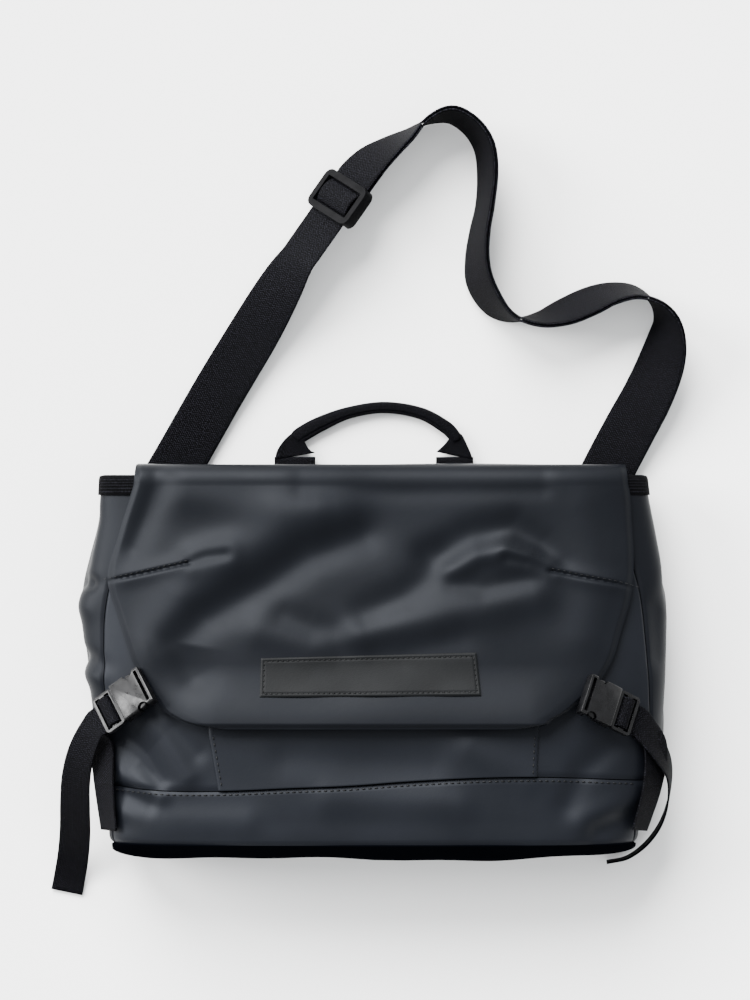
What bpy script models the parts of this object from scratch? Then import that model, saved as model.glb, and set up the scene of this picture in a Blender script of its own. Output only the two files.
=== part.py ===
"""Messenger bag lying on its back: the flat-lay pose of a 15-inch soft laptop bag.

Metres, +X to the bag's right, +Y towards its mouth, +Z out of its front.
The origin is on the back panel's flat rest face, so the bag lies on z = 0.
Every soft piece is a thin closed slab laid on one padded-box surface, the body skin,
at its own distance from that skin, so the layers never touch.
"""
import bisect
from math import cos, pi, radians, sin

import bmesh
import bpy
from mathutils import Matrix, Vector

# ---- driving sizes of the bag ------------------------------------------------------
BODY_WIDTH = 0.417          # across the gussets at their fullest
BODY_BOTTOM = -0.128        # y of the bottom seam
BODY_MOUTH = 0.132          # y of the mouth
DEPTH_BOTTOM = 0.094        # front to back at the bottom seam
DEPTH_MOUTH = 0.061         # front to back at the mouth
BACK_LIFT = 0.0085          # the back's top edge lifts over the strap ends
LIFT_START = 0.026          # y where that lift starts
LIFT_END = 0.078            # y where it ends
BOTTOM_BULGE = 0.011        # how far the bottom panel bows out
BAND_SEAM = -0.086          # y of the seam between the front panel and its lower band
REST_FLAT = 1.012           # flattens the middle of the back, where the bag rests
FRONT_POWER = 3.0           # roundness of the padded front edges
BACK_POWER = 5.0            # roundness of the back edges

# Width of the body at shares of its height, bottom to mouth.
WIDTH_SHARES = ((0.0, 0.885), (0.08, 0.915), (0.22, 0.955), (0.42, 0.98),
                (0.64, 1.0), (0.74, 0.995), (0.88, 0.95), (1.0, 0.935))

# Half-angles of the section, in degrees, where the front and back seams run.
FRONT_SEAM_BOTTOM = 13.0
FRONT_SEAM_MOUTH = 38.0
BACK_SEAM = -22.0
SEAM_GAP = 0.7              # half of the gap between two sewn panels, as an angle
EDGE_GAP = 0.0006           # gap between two pieces that are sewn edge to edge
BOARD_END = 24.0            # the same angle for the board inside it
BOARD_MARGIN = 0.06         # share of the bottom's depth left free at the board's edges
BOARD_LAYER = (0.0020, 0.0008)
BOTTOM_END = 8.0            # where the bottom panel's pointed ends are cut off

BACK_COLUMNS = 18           # grid of the back panel, which the board behind it shares
BACK_ROWS = 14

# ---- layers, as distances from the body skin ---------------------------------------
SHELL = (-0.0015, 0.0)
STIFFENER = (-0.0031, -0.0019)
LINING = (-0.0045, -0.0035)
POCKET = (0.0004, 0.0018)
TAPE = (0.0005, 0.0017)
TAB = (0.0008, 0.0020)
FLAP_LINING = (0.0024, 0.0032)
FLAP_SKIN = (0.0036, 0.0051)
LABEL = (0.0055, 0.0073)

# ---- flap --------------------------------------------------------------------------
FLAP_TOP_HALF = 0.178       # half-width at the fold over the mouth
FLAP_DART_HALF = 0.1885     # half-width at the darts, its widest place
FLAP_DART_Y = 0.060
FLAP_BOTTOM = -0.0445
FLAP_CORNER_HALF = 0.106    # half-width of the straight bottom edge
FLAP_SLANT = 0.253           # how far the sides draw in below the darts
CORNER_START = 0.52         # share of the way down at which the bottom corners start
FOLD_Y = 0.1395             # hinge line of the fold over the mouth
FLAP_HINGE_Z = 0.0105
FLAP_TOP_SKIN = (0.1392, 0.1407)
HINGE_GAP = 0.0015
LINING_INSET = 0.007

LABEL_WIDTH = 0.156
LABEL_HEIGHT = 0.029
LABEL_CENTRE = (-0.0015, -0.0075)
LABEL_TURN = 1.3            # degrees, right end up

POCKET_HALF = 0.113
POCKET_SHIFT = 0.0015
POCKET_TOP = 0.040
TAPE_DEPTH = 0.012

# ---- inside ------------------------------------------------------------------------
SLEEVE_HALF = 0.158
SLEEVE_TOP = 0.095
SLEEVE_FOOT = -0.112
SLEEVE_Z = 0.034
SLEEVE_THICK = 0.005
INNER_POCKET_HALF = 0.110
INNER_POCKET_TOP = 0.030
INNER_POCKET_THICK = 0.001
LAYER_GAP = 0.0005

# ---- webbing -----------------------------------------------------------------------
STRAP_WIDTH = 0.038
STRAP_THICK = 0.0016
SIDE_WIDTH = 0.025
SIDE_THICK = 0.0014
STRAP_STEP = 0.008
TAIL_STEP = 0.005

# Shoulder strap route from the left anchor, through the slider, to the right ring:
# x, y, height of the middle, turn from flat in degrees, distance between two layers.
STRAP_ROUTE = (
    (-0.1590, 0.1120, 0.0035, 0, 0.0030),
    (-0.1400, 0.1443, 0.0035, 0, 0.0030),
    (-0.1110, 0.1950, 0.0050, 4, 0.0030),
    (-0.0850, 0.2380, 0.0085, 12, 0.0030),
    (-0.0650, 0.2720, 0.0165, 31, 0.0030),
    (-0.0545, 0.2890, 0.0205, 45, 0.0030),
    (-0.0493, 0.2964, 0.0205, 45, 0.0030),
    (-0.0361, 0.3152, 0.0205, 45, 0.0030),
    (-0.0235, 0.3332, 0.0205, 45, 0.0030),
    (-0.0143, 0.3463, 0.0205, 45, 0.0030),
    (-0.0117, 0.3500, 0.0205, 45, 0.0030),
    (-0.0020, 0.3595, 0.0202, 50, 0.0034),
    (0.0110, 0.3690, 0.0200, 62, 0.0042),
    (0.0257, 0.3790, 0.0202, 76, 0.0048),
    (0.0395, 0.3895, 0.0200, 90, 0.0052),
    (0.0569, 0.3937, 0.0202, 102, 0.0052),
    (0.0714, 0.3853, 0.0202, 106, 0.0052),
    (0.0805, 0.3712, 0.0202, 108, 0.0054),
    (0.0830, 0.3527, 0.0202, 108, 0.0058),
    (0.0812, 0.3290, 0.0202, 106, 0.0062),
    (0.0775, 0.3100, 0.0202, 108, 0.0066),
    (0.0755, 0.2910, 0.0202, 112, 0.0068),
    (0.0775, 0.2735, 0.0202, 116, 0.0066),
    (0.0880, 0.2560, 0.0202, 110, 0.0060),
    (0.1020, 0.2472, 0.0202, 93, 0.0050),
    (0.1215, 0.2463, 0.0202, 74, 0.0044),
    (0.1388, 0.2516, 0.0192, 61, 0.0040),
    (0.1577, 0.2596, 0.0190, 59, 0.0040),
    (0.1740, 0.2650, 0.0196, 67, 0.0042),
    (0.1896, 0.2654, 0.0200, 77, 0.0046),
    (0.2040, 0.2580, 0.0202, 93, 0.0050),
    (0.2118, 0.2450, 0.0196, 114, 0.0054),
    (0.2122, 0.2300, 0.0174, 133, 0.0056),
    (0.2078, 0.2125, 0.0138, 149, 0.0054),
    (0.1985, 0.1905, 0.0104, 160, 0.0046),
    (0.1870, 0.1690, 0.0072, 168, 0.0038),
    (0.1736, 0.1436, 0.0048, 175, 0.0032),
    (0.1662, 0.1290, 0.0038, 180, 0.0030),
)
SLIDER_POINT = 8            # place of the slider in that route
STRAIGHT_START = 6          # the strap is straight and untwisted from here
STRAIGHT_AHEAD = 0.018      # and on past the slider's middle, before its layers part
PARTING = 0.030             # length over which the two layers part

# Slider and ring for the shoulder strap.
SLIDER_LENGTH = 0.031
SLIDER_RAIL = 0.0045
SLIDER_BAR = 0.0050
SLIDER_ABOVE = (0.0013, 0.0042)
SLIDER_BELOW = (-0.0046, -0.0014)
SLIDER_CORE_HALF = 0.0020
STRAP_CLEAR = 0.0008        # webbing to metal or plastic at its sides
TOUCH_GAP = 0.0004          # webbing to what it is sewn to or wrapped round
RING_WIRE = 0.0036
RING_OPEN = 0.0075
RING_MIDDLE_Z = 0.0038
TAB_LENGTH = 0.026              # of the webbing sewn on at each end of the shoulder strap

# ---- haul handle -------------------------------------------------------------------
HANDLE_PIVOT = (0.1475, 0.0045)
HANDLE_END_FOOT = 0.100
HANDLE_LEFT_X = -0.0570
HANDLE_RIGHT_X = 0.0610
HANDLE_TAPE_WIDTH = 0.029
HANDLE_TAPE_THICK = 0.0016
HANDLE_GRIP_WIDTH = 0.013
HANDLE_GRIP_THICK = 0.0075
# x, y, width across, thickness: flat where it is sewn, folded to a cord in the hand.
HANDLE_ROUTE = (
    (HANDLE_LEFT_X - 0.0010, 0.1487, HANDLE_TAPE_WIDTH, HANDLE_TAPE_THICK),
    (HANDLE_LEFT_X - 0.0005, 0.1560, 0.0200, 0.0040),
    (HANDLE_LEFT_X + 0.0040, 0.1650, HANDLE_GRIP_WIDTH, HANDLE_GRIP_THICK),
    (-0.0380, 0.1755, HANDLE_GRIP_WIDTH, HANDLE_GRIP_THICK),
    (-0.0160, 0.1820, HANDLE_GRIP_WIDTH, HANDLE_GRIP_THICK),
    (0.0080, 0.1838, HANDLE_GRIP_WIDTH, HANDLE_GRIP_THICK),
    (0.0300, 0.1808, HANDLE_GRIP_WIDTH, HANDLE_GRIP_THICK),
    (0.0480, 0.1735, HANDLE_GRIP_WIDTH, HANDLE_GRIP_THICK),
    (HANDLE_RIGHT_X - 0.0030, 0.1645, HANDLE_GRIP_WIDTH, HANDLE_GRIP_THICK),
    (HANDLE_RIGHT_X - 0.0003, 0.1560, 0.0190, 0.0040),
    (HANDLE_RIGHT_X, 0.1487, HANDLE_TAPE_WIDTH, HANDLE_TAPE_THICK),
)
HANDLE_STEP = 0.007

# ---- side-release buckles ----------------------------------------------------------
BUCKLE_WIDTH = 0.030
BUCKLE_HEIGHT = 0.0085
SOCKET_LENGTH = 0.026
SOCKET_WALL = 0.0014
SOCKET_SOLID = 0.0055       # solid end that carries the webbing slot
WINDOW_START = 0.0125
WINDOW_RADIUS = 0.0042
SLOT_LENGTH = 0.0026
FRAME_LENGTH = 0.0166
FRAME_THICK = 0.0034
FRAME_RAIL = 0.0021
FRAME_END_BAR = 0.0021
FRAME_SLOT = 0.0038
FRAME_CORE = 0.0042
GUIDE_HALF = 0.0022
GUIDE_LENGTH = 0.018
PRONG_ROOT = 0.0012
PRONG_INNER = 0.0092
PRONG_THICK = 0.0020
PRONG_HIGH = 0.0044
PRONG_TIP = 0.0202
BARB_START = 0.0138
BARB_OUT = 0.0144
BUCKLE_GAP = 0.0004
WEAVE_TURN = 0.0005         # how far inside a slot's mouth the strap starts to turn
CORE_TURN = 0.0024          # half the flat run of the strap over the middle bar
TAB_RISE = 0.0014                # how far its first end stands off the flap's underside
TAB_REACHES = (-0.0055, 0.008, 0.016, 0.023)  # places of the flap's webbing, from the socket's end inwards
TAB_GAP = 0.0001                 # and the rest of it
TAB_PARTS = 4                    # stations to each stretch, so that no face is twisted much
TAB_WIDTH = 0.016                # narrower than the socket, to pass under it

# Middle of each buckle's mouth line and the directions of its axis and of its top.
# The axis points along the buckle to the flap; the top is squared up against it. The
# raise is the height of the mouth line above the body skin.
BUCKLES = {
    "left": {"middle": (-0.1795, -0.0290), "axis": (0.81, 0.59),
             "top": (-0.45, 0.30, 0.84), "raise": 0.0125},
    "right": {"middle": (0.1712, -0.0314), "axis": (-0.89, 0.455),
              "top": (0.45, 0.22, 0.86), "raise": 0.0130},
}

# Side straps: from the bottom corner seam up to the buckle. The first points are on the
# body skin: share of the body's height, section angle and distance out from the skin.
SIDE_STRAP_SKIN = ((0.035, 14.0, 0.0016), (0.16, 17.0, 0.0024), (0.27, 21.0, 0.0034))
# Free tails, from the buckle's end bar: x, y, z of the middle and the way across.
TAIL_ROUTES = {
    "left": (
        ((-0.2070, -0.0640, 0.0670), (-0.72, 0.62, -0.36)),
        ((-0.2115, -0.0830, 0.0560), (-0.88, 0.38, -0.28)),
        ((-0.2130, -0.1030, 0.0430), (-0.95, 0.24, -0.20)),
        ((-0.2140, -0.1230, 0.0270), (-0.96, 0.22, -0.12)),
        ((-0.2165, -0.1420, 0.0110), (-0.965, 0.25, -0.05)),
        ((-0.2195, -0.1580, 0.0030), (-0.965, 0.26, 0.0)),
        ((-0.2215, -0.1680, 0.0016), (-0.965, 0.26, 0.0)),
    ),
    "right": (
        ((0.2035, -0.0610, 0.0690), (-0.34, -0.58, 0.74)),
        ((0.2115, -0.0760, 0.0560), (-0.20, -0.36, 0.91)),
        ((0.2125, -0.0960, 0.0400), (-0.10, -0.16, 0.98)),
        ((0.2080, -0.1150, 0.0270), (-0.04, -0.08, 0.99)),
        ((0.1980, -0.1310, 0.0180), (-0.02, -0.04, 1.0)),
        ((0.1840, -0.1420, 0.0140), (0.0, 0.0, 1.0)),
        ((0.1690, -0.1455, 0.0132), (0.0, 0.0, 1.0)),
    ),
}

# Small allowances.
OVERSHOOT = 0.01                # cutting blocks reach this far past what they cut
HAIR = 0.0002                   # step that keeps two faces from lying in one plane
NEAR_SLIDER = 0.06              # the strap's two layers part within this distance of the slider
TAIL_WIDTH = SIDE_WIDTH - 0.001
SLIDER_CORNER, RING_CORNER, FRAME_CORNER = 0.006, 0.003, 0.0028
SOCKET_ROUND = 0.0009
SOCKET_LIP = 0.0010             # wall left below the slot for the flap's webbing
WINDOW_OUT = 0.0004             # the windows' centres lie this far outside the socket's sides
PRONG_BITE = 0.0007             # the prongs start this far inside the plug's root

FABRIC = ("coated_fabric", (0.045, 0.050, 0.058), 0.72, 0.0)
LINING_CLOTH = ("lining_cloth", (0.060, 0.062, 0.066), 0.85, 0.0)
WEBBING = ("webbing", (0.014, 0.016, 0.019), 0.80, 0.0)
LEATHER = ("label_leather", (0.045, 0.044, 0.047), 0.55, 0.0)
BOARD = ("stiffener_board", (0.30, 0.31, 0.32), 0.60, 0.0)
FOAM_PAD = ("padding", (0.070, 0.072, 0.076), 0.90, 0.0)
BLACK_PLASTIC = ("black_plastic", (0.018, 0.019, 0.021), 0.35, 0.0)


def clear_scene():
    for thing in list(bpy.data.objects):
        bpy.data.objects.remove(thing, do_unlink=True)


def add_material(thing, finish):
    name, colour, roughness, metallic = finish
    material = bpy.data.materials.new(thing.name + "_" + name)
    material.use_nodes = True
    shader = material.node_tree.nodes["Principled BSDF"]
    shader.inputs["Base Color"].default_value = (*colour, 1.0)
    shader.inputs["Roughness"].default_value = roughness
    shader.inputs["Metallic"].default_value = metallic
    thing.data.materials.append(material)


def add_object(name, mesh_builder, finish):
    """Turn a bmesh into a named object, smooth except at its real edges."""
    bmesh.ops.recalc_face_normals(mesh_builder, faces=mesh_builder.faces)
    if mesh_builder.calc_volume(signed=True) < 0:
        bmesh.ops.reverse_faces(mesh_builder, faces=mesh_builder.faces)
    mesh = bpy.data.meshes.new(name)
    mesh_builder.to_mesh(mesh)
    mesh_builder.free()
    mesh.shade_smooth()
    mesh.set_sharp_from_angle(angle=radians(35))
    thing = bpy.data.objects.new(name, mesh)
    bpy.context.scene.collection.objects.link(thing)
    add_material(thing, finish)
    return thing


def between(low, high, share):
    return low + (high - low) * share


def ease(share):
    share = min(1.0, max(0.0, share))
    return share * share * (3.0 - 2.0 * share)


# ---- the body skin -----------------------------------------------------------------
def height_share(y):
    return min(1.0, max(0.0, (y - BODY_BOTTOM) / (BODY_MOUTH - BODY_BOTTOM)))


def half_width(y):
    share = height_share(y)
    stops = [stop for stop, _ in WIDTH_SHARES]
    place = min(max(bisect.bisect_right(stops, share), 1), len(stops) - 1)
    (low, low_width), (high, high_width) = WIDTH_SHARES[place - 1], WIDTH_SHARES[place]
    return BODY_WIDTH / 2 * between(low_width, high_width, ease((share - low) / (high - low)))


def back_height(y):
    return BACK_LIFT * ease((y - LIFT_START) / (LIFT_END - LIFT_START))


def front_height(y):
    return between(DEPTH_BOTTOM, DEPTH_MOUTH, ease(height_share(y) * 0.9) / ease(0.9))


def section(y, angle, offset):
    """Point of the rounded-box section at y; the angle runs from +X over the front."""
    turn = radians(angle)
    power = FRONT_POWER if sin(turn) >= 0 else BACK_POWER
    across = abs(cos(turn)) ** (2 / power) * (1 if cos(turn) >= 0 else -1)
    up = abs(sin(turn)) ** (2 / power)
    if sin(turn) < 0:
        up = -min(1.0, up * REST_FLAT)
    low = back_height(y)
    high = front_height(y)
    x = (half_width(y) + offset) * across
    z = (low + high) / 2 + ((high - low) / 2 + offset) * up
    return Vector((x, y, z))


def front_point(x, y, offset):
    """Point above (x, y) on the front of the skin, moved out by offset."""
    low = back_height(y)
    high = front_height(y)
    share = min(0.999, abs(x) / (half_width(y) + offset))
    up = (1 - share ** FRONT_POWER) ** (1 / FRONT_POWER)
    return Vector((x, y, (low + high) / 2 + ((high - low) / 2 + offset) * up))


def front_seam(y):
    return between(FRONT_SEAM_BOTTOM, FRONT_SEAM_MOUTH, height_share(y))


def slab(name, surface, columns, rows, layer, finish):
    """A closed slab: surface(u, v, offset) at the layer's two distances."""
    builder = bmesh.new()
    bmesh.ops.create_grid(builder, x_segments=columns, y_segments=rows, size=0.5)
    shares = [(corner.co.x + 0.5, corner.co.y + 0.5) for corner in builder.verts]
    inner = list(builder.verts)
    raised = bmesh.ops.extrude_face_region(builder, geom=list(builder.faces))
    outer = [piece for piece in raised["geom"] if isinstance(piece, bmesh.types.BMVert)]
    for corner in outer:
        u, v = corner.co.x + 0.5, corner.co.y + 0.5
        corner.co = surface(u, v, layer[1])
    for corner, (u, v) in zip(inner, shares):
        corner.co = surface(u, v, layer[0])
    return add_object(name, builder, finish)


def section_patch(y_low, y_high, start, end):
    """Part of the skin between two heights and two seam angles (functions of y)."""
    def surface(u, v, offset):
        y = between(y_low, y_high, v)
        return section(y, between(start(y), end(y), u), offset)
    return surface


def smooth_route(points, step):
    """Points of equal-step samples on one smooth curve through points of any length."""
    points = [Vector(point) for point in points]
    lengths = [0.0]
    for first, second in zip(points, points[1:]):
        lengths.append(lengths[-1] + (Vector(second[:3]) - Vector(first[:3])).length)
    slopes = []
    for place in range(len(points)):
        before = max(place - 1, 0)
        after = min(place + 1, len(points) - 1)
        slopes.append((points[after] - points[before]) / (lengths[after] - lengths[before]))
    count = max(2, round(lengths[-1] / step))
    samples = []
    for number in range(count + 1):
        reach = lengths[-1] * number / count
        place = min(max(bisect.bisect_right(lengths, reach), 1), len(points) - 1)
        span = lengths[place] - lengths[place - 1]
        share = (reach - lengths[place - 1]) / span
        square, cube = share ** 2, share ** 3
        samples.append(points[place - 1] * (2 * cube - 3 * square + 1)
                       + slopes[place - 1] * span * (cube - 2 * square + share)
                       + points[place] * (3 * square - 2 * cube)
                       + slopes[place] * span * (cube - square))
    return samples


def push_face(builder, face, keep):
    """Extrude one face and return the new one; the old one stays only as an end cap."""
    raised = bmesh.ops.extrude_face_region(builder, geom=[face], use_keep_orig=True)
    pushed = [piece for piece in raised["geom"] if isinstance(piece, bmesh.types.BMFace)][0]
    if not keep:
        bmesh.ops.delete(builder, geom=[face], context="FACES_ONLY")
    return pushed


def ribbon(name, stations, finish):
    """A closed band through stations of (middle, way across, width, thickness)."""
    builder = bmesh.new()
    face = None
    for number, (middle, across, width, thickness) in enumerate(stations):
        before = stations[max(number - 1, 0)][0]
        after = stations[min(number + 1, len(stations) - 1)][0]
        along = (after - before).normalized()
        across = (across - along * across.dot(along)).normalized()
        up = along.cross(across)
        corners = [middle + across * (width / 2 * side) + up * (thickness / 2 * top)
                   for side, top in ((-1, -1), (1, -1), (1, 1), (-1, 1))]
        if face is None:
            face = builder.faces.new([builder.verts.new(corner) for corner in corners])
            continue
        face = push_face(builder, face, keep=number == 1)
        for loop, corner in zip(face.loops, corners):
            loop.vert.co = corner
    return add_object(name, builder, finish)


def flat_twist(along, twist):
    """The way across a band that runs along and is turned by twist degrees from flat."""
    left = Vector((-along.y, along.x, 0)).normalized()
    return left * cos(radians(twist)) - Vector((0, 0, 1)) * sin(radians(twist))


def block(low, high, round_by=0.0, segments=2):
    """Bmesh of a box between two corners with its edges rounded."""
    builder = bmesh.new()
    bmesh.ops.create_cube(builder, size=1.0)
    size = Vector(high) - Vector(low)
    bmesh.ops.scale(builder, vec=size, verts=builder.verts)
    bmesh.ops.translate(builder, vec=(Vector(high) + Vector(low)) / 2, verts=builder.verts)
    if round_by:
        bmesh.ops.bevel(builder, geom=builder.edges, offset=round_by, segments=segments,
                        profile=0.5, affect="EDGES", material=-1)
    return builder


def round_plate(low, high, corner, segments=4):
    """Bmesh of a box whose four upright corners are rounded."""
    builder = block(low, high)
    upright = [edge for edge in builder.edges
               if abs(edge.verts[0].co.z - edge.verts[1].co.z) > (high[2] - low[2]) / 2]
    bmesh.ops.bevel(builder, geom=upright, offset=corner, segments=segments,
                    profile=0.5, affect="EDGES", material=-1)
    return builder


def placed(builder, matrix):
    bmesh.ops.transform(builder, matrix=matrix, verts=builder.verts)
    return builder


def combine(thing, builder, operation, label):
    """Cut a helper shape from a piece, or join it on, with an exact Boolean."""
    helper = add_object(thing.name + "_" + label, builder, BLACK_PLASTIC)
    helper.hide_render = True
    helper.display_type = "WIRE"
    modifier = thing.modifiers.new(label, "BOOLEAN")
    modifier.operation = operation
    modifier.solver = "EXACT"
    modifier.object = helper


# ---- body --------------------------------------------------------------------------
def make_shell():
    left_front = lambda y: 180 - front_seam(y)
    right_front = front_seam
    for name, low, high, rows in (("front_band", BODY_BOTTOM, BAND_SEAM - EDGE_GAP / 2, 4),
                                  ("front_panel", BAND_SEAM + EDGE_GAP / 2, BODY_MOUTH, 10)):
        slab(name, section_patch(low, high, lambda y: left_front(y) - SEAM_GAP,
                                 lambda y: right_front(y) + SEAM_GAP), 22, rows, SHELL, FABRIC)
    slab("back_panel", section_patch(BODY_BOTTOM, BODY_MOUTH,
                                     lambda y: 180 - BACK_SEAM + SEAM_GAP,
                                     lambda y: 360 + BACK_SEAM - SEAM_GAP),
         BACK_COLUMNS, BACK_ROWS, SHELL, FABRIC)
    slab("gusset_right", section_patch(BODY_BOTTOM, BODY_MOUTH, lambda y: BACK_SEAM + SEAM_GAP,
                                       lambda y: right_front(y) - SEAM_GAP), 6, BACK_ROWS, SHELL, FABRIC)
    slab("gusset_left", section_patch(BODY_BOTTOM, BODY_MOUTH, lambda y: left_front(y) + SEAM_GAP,
                                      lambda y: 180 - BACK_SEAM - SEAM_GAP), 6, BACK_ROWS, SHELL, FABRIC)
    slab("bottom_panel", bottom_surface, 22, 6, SHELL, FABRIC)


def bottom_surface(u, v, offset):
    """The bottom panel: bowed out between the front band's and the back's lower edges."""
    angle = between(180 - BOTTOM_END, BOTTOM_END, u)
    front = section(BODY_BOTTOM, angle, offset)
    back = section(BODY_BOTTOM, -angle, offset)
    point = back.lerp(front, v)
    fullness = sin(radians(angle)) ** 0.5
    point.y = BODY_BOTTOM - EDGE_GAP - offset + SHELL[0] - BOTTOM_BULGE * fullness * sin(pi * v) ** 0.7
    return point


def make_mouth_tapes():
    for side, start, end in (
            ("right", lambda y: BACK_SEAM + SEAM_GAP, lambda y: front_seam(y) - SEAM_GAP),
            ("left", lambda y: 180 - front_seam(y) + SEAM_GAP, lambda y: 180 - BACK_SEAM - SEAM_GAP)):
        slab("mouth_tape_" + side, section_patch(BODY_MOUTH - TAPE_DEPTH, BODY_MOUTH, start, end),
             6, 2, TAPE, WEBBING)
    slab("mouth_tape_front", section_patch(BODY_MOUTH - TAPE_DEPTH, BODY_MOUTH,
                                           lambda y: 180 - front_seam(y) - SEAM_GAP,
                                           lambda y: front_seam(y) + SEAM_GAP), 22, 2, TAPE, WEBBING)


def make_front_pocket():
    def pocket_surface(low, high):
        def surface(u, v, offset):
            x = POCKET_SHIFT + between(-POCKET_HALF, POCKET_HALF, u)
            return front_point(x, between(low, high, v), offset)
        return surface
    slab("front_pocket", pocket_surface(BAND_SEAM + EDGE_GAP, POCKET_TOP), 14, 8, POCKET, FABRIC)
    slab("pocket_binding", pocket_surface(POCKET_TOP + EDGE_GAP, POCKET_TOP + TAPE_DEPTH / 2),
         14, 1, POCKET, WEBBING)


def make_lining():
    """The inner bag: one closed-bottom shell of lining cloth, open at the mouth."""
    count = 32
    rows = 8
    builder = bmesh.new()
    bmesh.ops.create_circle(builder, cap_ends=True, segments=count, radius=1.0)
    face = list(builder.faces)[0]
    inner_levels = [between(BODY_BOTTOM - LINING[0] + LINING[1], BODY_MOUTH - TAPE_DEPTH / 4, row / rows)
                    for row in range(rows + 1)]
    outer_levels = list(inner_levels)
    outer_levels[0] = BODY_BOTTOM
    levels = [(y, LINING[1]) for y in outer_levels] + [(y, LINING[0]) for y in reversed(inner_levels)]
    for number, (y, offset) in enumerate(levels):
        if number:
            face = push_face(builder, face, keep=number == 1)
        for place, loop in enumerate(face.loops):
            loop.vert.co = section(y, 360 * (place + 0.5) / count, offset)
    add_object("lining", builder, LINING_CLOTH)


def make_back_stiffener():
    """A board between back panel and lining, on the back panel's own grid of points."""
    step = (180 + 2 * (BACK_SEAM - SEAM_GAP)) / BACK_COLUMNS
    row = (BODY_MOUTH - BODY_BOTTOM) / BACK_ROWS
    margin = 2
    rows = int((LIFT_START - BODY_BOTTOM) / row) - 1
    start = 180 - BACK_SEAM + SEAM_GAP + margin * step
    end = 360 + BACK_SEAM - SEAM_GAP - margin * step
    slab("back_stiffener", section_patch(BODY_BOTTOM + row, BODY_BOTTOM + row * (rows + 1),
                                         lambda y: start, lambda y: end),
         BACK_COLUMNS - 2 * margin, rows, STIFFENER, BOARD)


def make_inside():
    make_lining()
    make_back_stiffener()
    low = (-SLEEVE_HALF, SLEEVE_FOOT, SLEEVE_Z)
    high = (SLEEVE_HALF, SLEEVE_TOP, SLEEVE_Z + SLEEVE_THICK)
    add_object("sleeve_pad", block(low, high, SLEEVE_THICK * 0.35), FOAM_PAD)
    pocket_low = (-INNER_POCKET_HALF, SLEEVE_FOOT + 0.006, high[2] + LAYER_GAP)
    pocket_high = (INNER_POCKET_HALF, INNER_POCKET_TOP, pocket_low[2] + INNER_POCKET_THICK)
    add_object("inner_pocket", block(pocket_low, pocket_high, INNER_POCKET_THICK * 0.3), LINING_CLOTH)


def base_board_surface(u, v, offset):
    """A board inside the bottom panel, which keeps the bag's foot in shape."""
    angle = between(180 - BOARD_END, BOARD_END, u)
    share = between(BOARD_MARGIN, 1 - BOARD_MARGIN, v)
    front = section(BODY_BOTTOM, angle, LINING[1])
    back = section(BODY_BOTTOM, -angle, LINING[1])
    point = back.lerp(front, share)
    fullness = sin(radians(angle)) ** 0.5
    point.y = BODY_BOTTOM - EDGE_GAP - BOTTOM_BULGE * fullness * sin(pi * share) ** 0.7 + offset
    return point


# ---- flap --------------------------------------------------------------------------
def flap_half(y):
    """Half-width of the flap: widest at the darts, then round to the bottom edge."""
    if y >= FLAP_DART_Y:
        share = (y - FLAP_DART_Y) / (FOLD_Y - FLAP_DART_Y)
        return between(FLAP_DART_HALF, FLAP_TOP_HALF, share ** 1.4)
    share = (FLAP_DART_Y - y) / (FLAP_DART_Y - FLAP_BOTTOM)
    slant = FLAP_DART_HALF * (1 - FLAP_SLANT * min(share, 1.0) ** 1.18)
    corner = max(0.0, (share - CORNER_START) / (1 - CORNER_START))
    drop = 1 - (1 - corner ** 2.5) ** 0.5 if corner < 1 else 1.0
    return between(slant, FLAP_CORNER_HALF, drop)


def flap_surface(inset):
    def surface(u, v, offset):
        y = between(FLAP_BOTTOM + inset, FOLD_Y - HINGE_GAP - inset, flap_spread(v))
        return front_point(sin(pi * (u - 0.5)) * (flap_half(y - inset) - inset), y, offset)
    return surface


def flap_spread(v):
    return v ** 1.9 if v < 0.6 else between(0.6 ** 1.9, 1.0, (v - 0.6) / 0.4)


def flap_top_surface(u, v, offset):
    """The strip over the mouth, from the back hinge up to the front fold."""
    x = sin(pi * (u - 0.5)) * FLAP_TOP_HALF
    high = front_point(x, BODY_MOUTH, 0.0).z
    low = FLAP_HINGE_Z + HINGE_GAP / 2
    return Vector((x, offset, between(low, max(high, low + 0.004), v)))


def label_surface(u, v, offset):
    x = between(-LABEL_WIDTH / 2, LABEL_WIDTH / 2, u)
    y = between(-LABEL_HEIGHT / 2, LABEL_HEIGHT / 2, v)
    turn = radians(LABEL_TURN)
    return front_point(LABEL_CENTRE[0] + x * cos(turn) - y * sin(turn),
                       LABEL_CENTRE[1] + x * sin(turn) + y * cos(turn), offset)


def make_flap():
    slab("flap_front", flap_surface(0.0), 22, 13, FLAP_SKIN, FABRIC)
    slab("flap_lining", flap_surface(LINING_INSET), 22, 13, FLAP_LINING, LINING_CLOTH)
    slab("flap_top", flap_top_surface, 24, 5, FLAP_TOP_SKIN, FABRIC)
    slab("label_patch", label_surface, 12, 2, LABEL, LEATHER)


# ---- shoulder strap ----------------------------------------------------------------
def slider_matrix():
    """Slider frame: x along the strap, y across it, z out of its top face."""
    middle = Vector(STRAP_ROUTE[SLIDER_POINT][:3])
    start = Vector(STRAP_ROUTE[STRAIGHT_START][:3])
    along = (middle - start).normalized()
    across = flat_twist(along, STRAP_ROUTE[SLIDER_POINT][3])
    up = along.cross(across)
    frame = Matrix((along, across, up)).transposed().to_4x4()
    return Matrix.Translation(middle) @ frame


def make_shoulder_strap():
    ribbon("shoulder_strap", through_layer(), WEBBING)
    ribbon("shoulder_strap_return", return_layer(), WEBBING)


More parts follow.
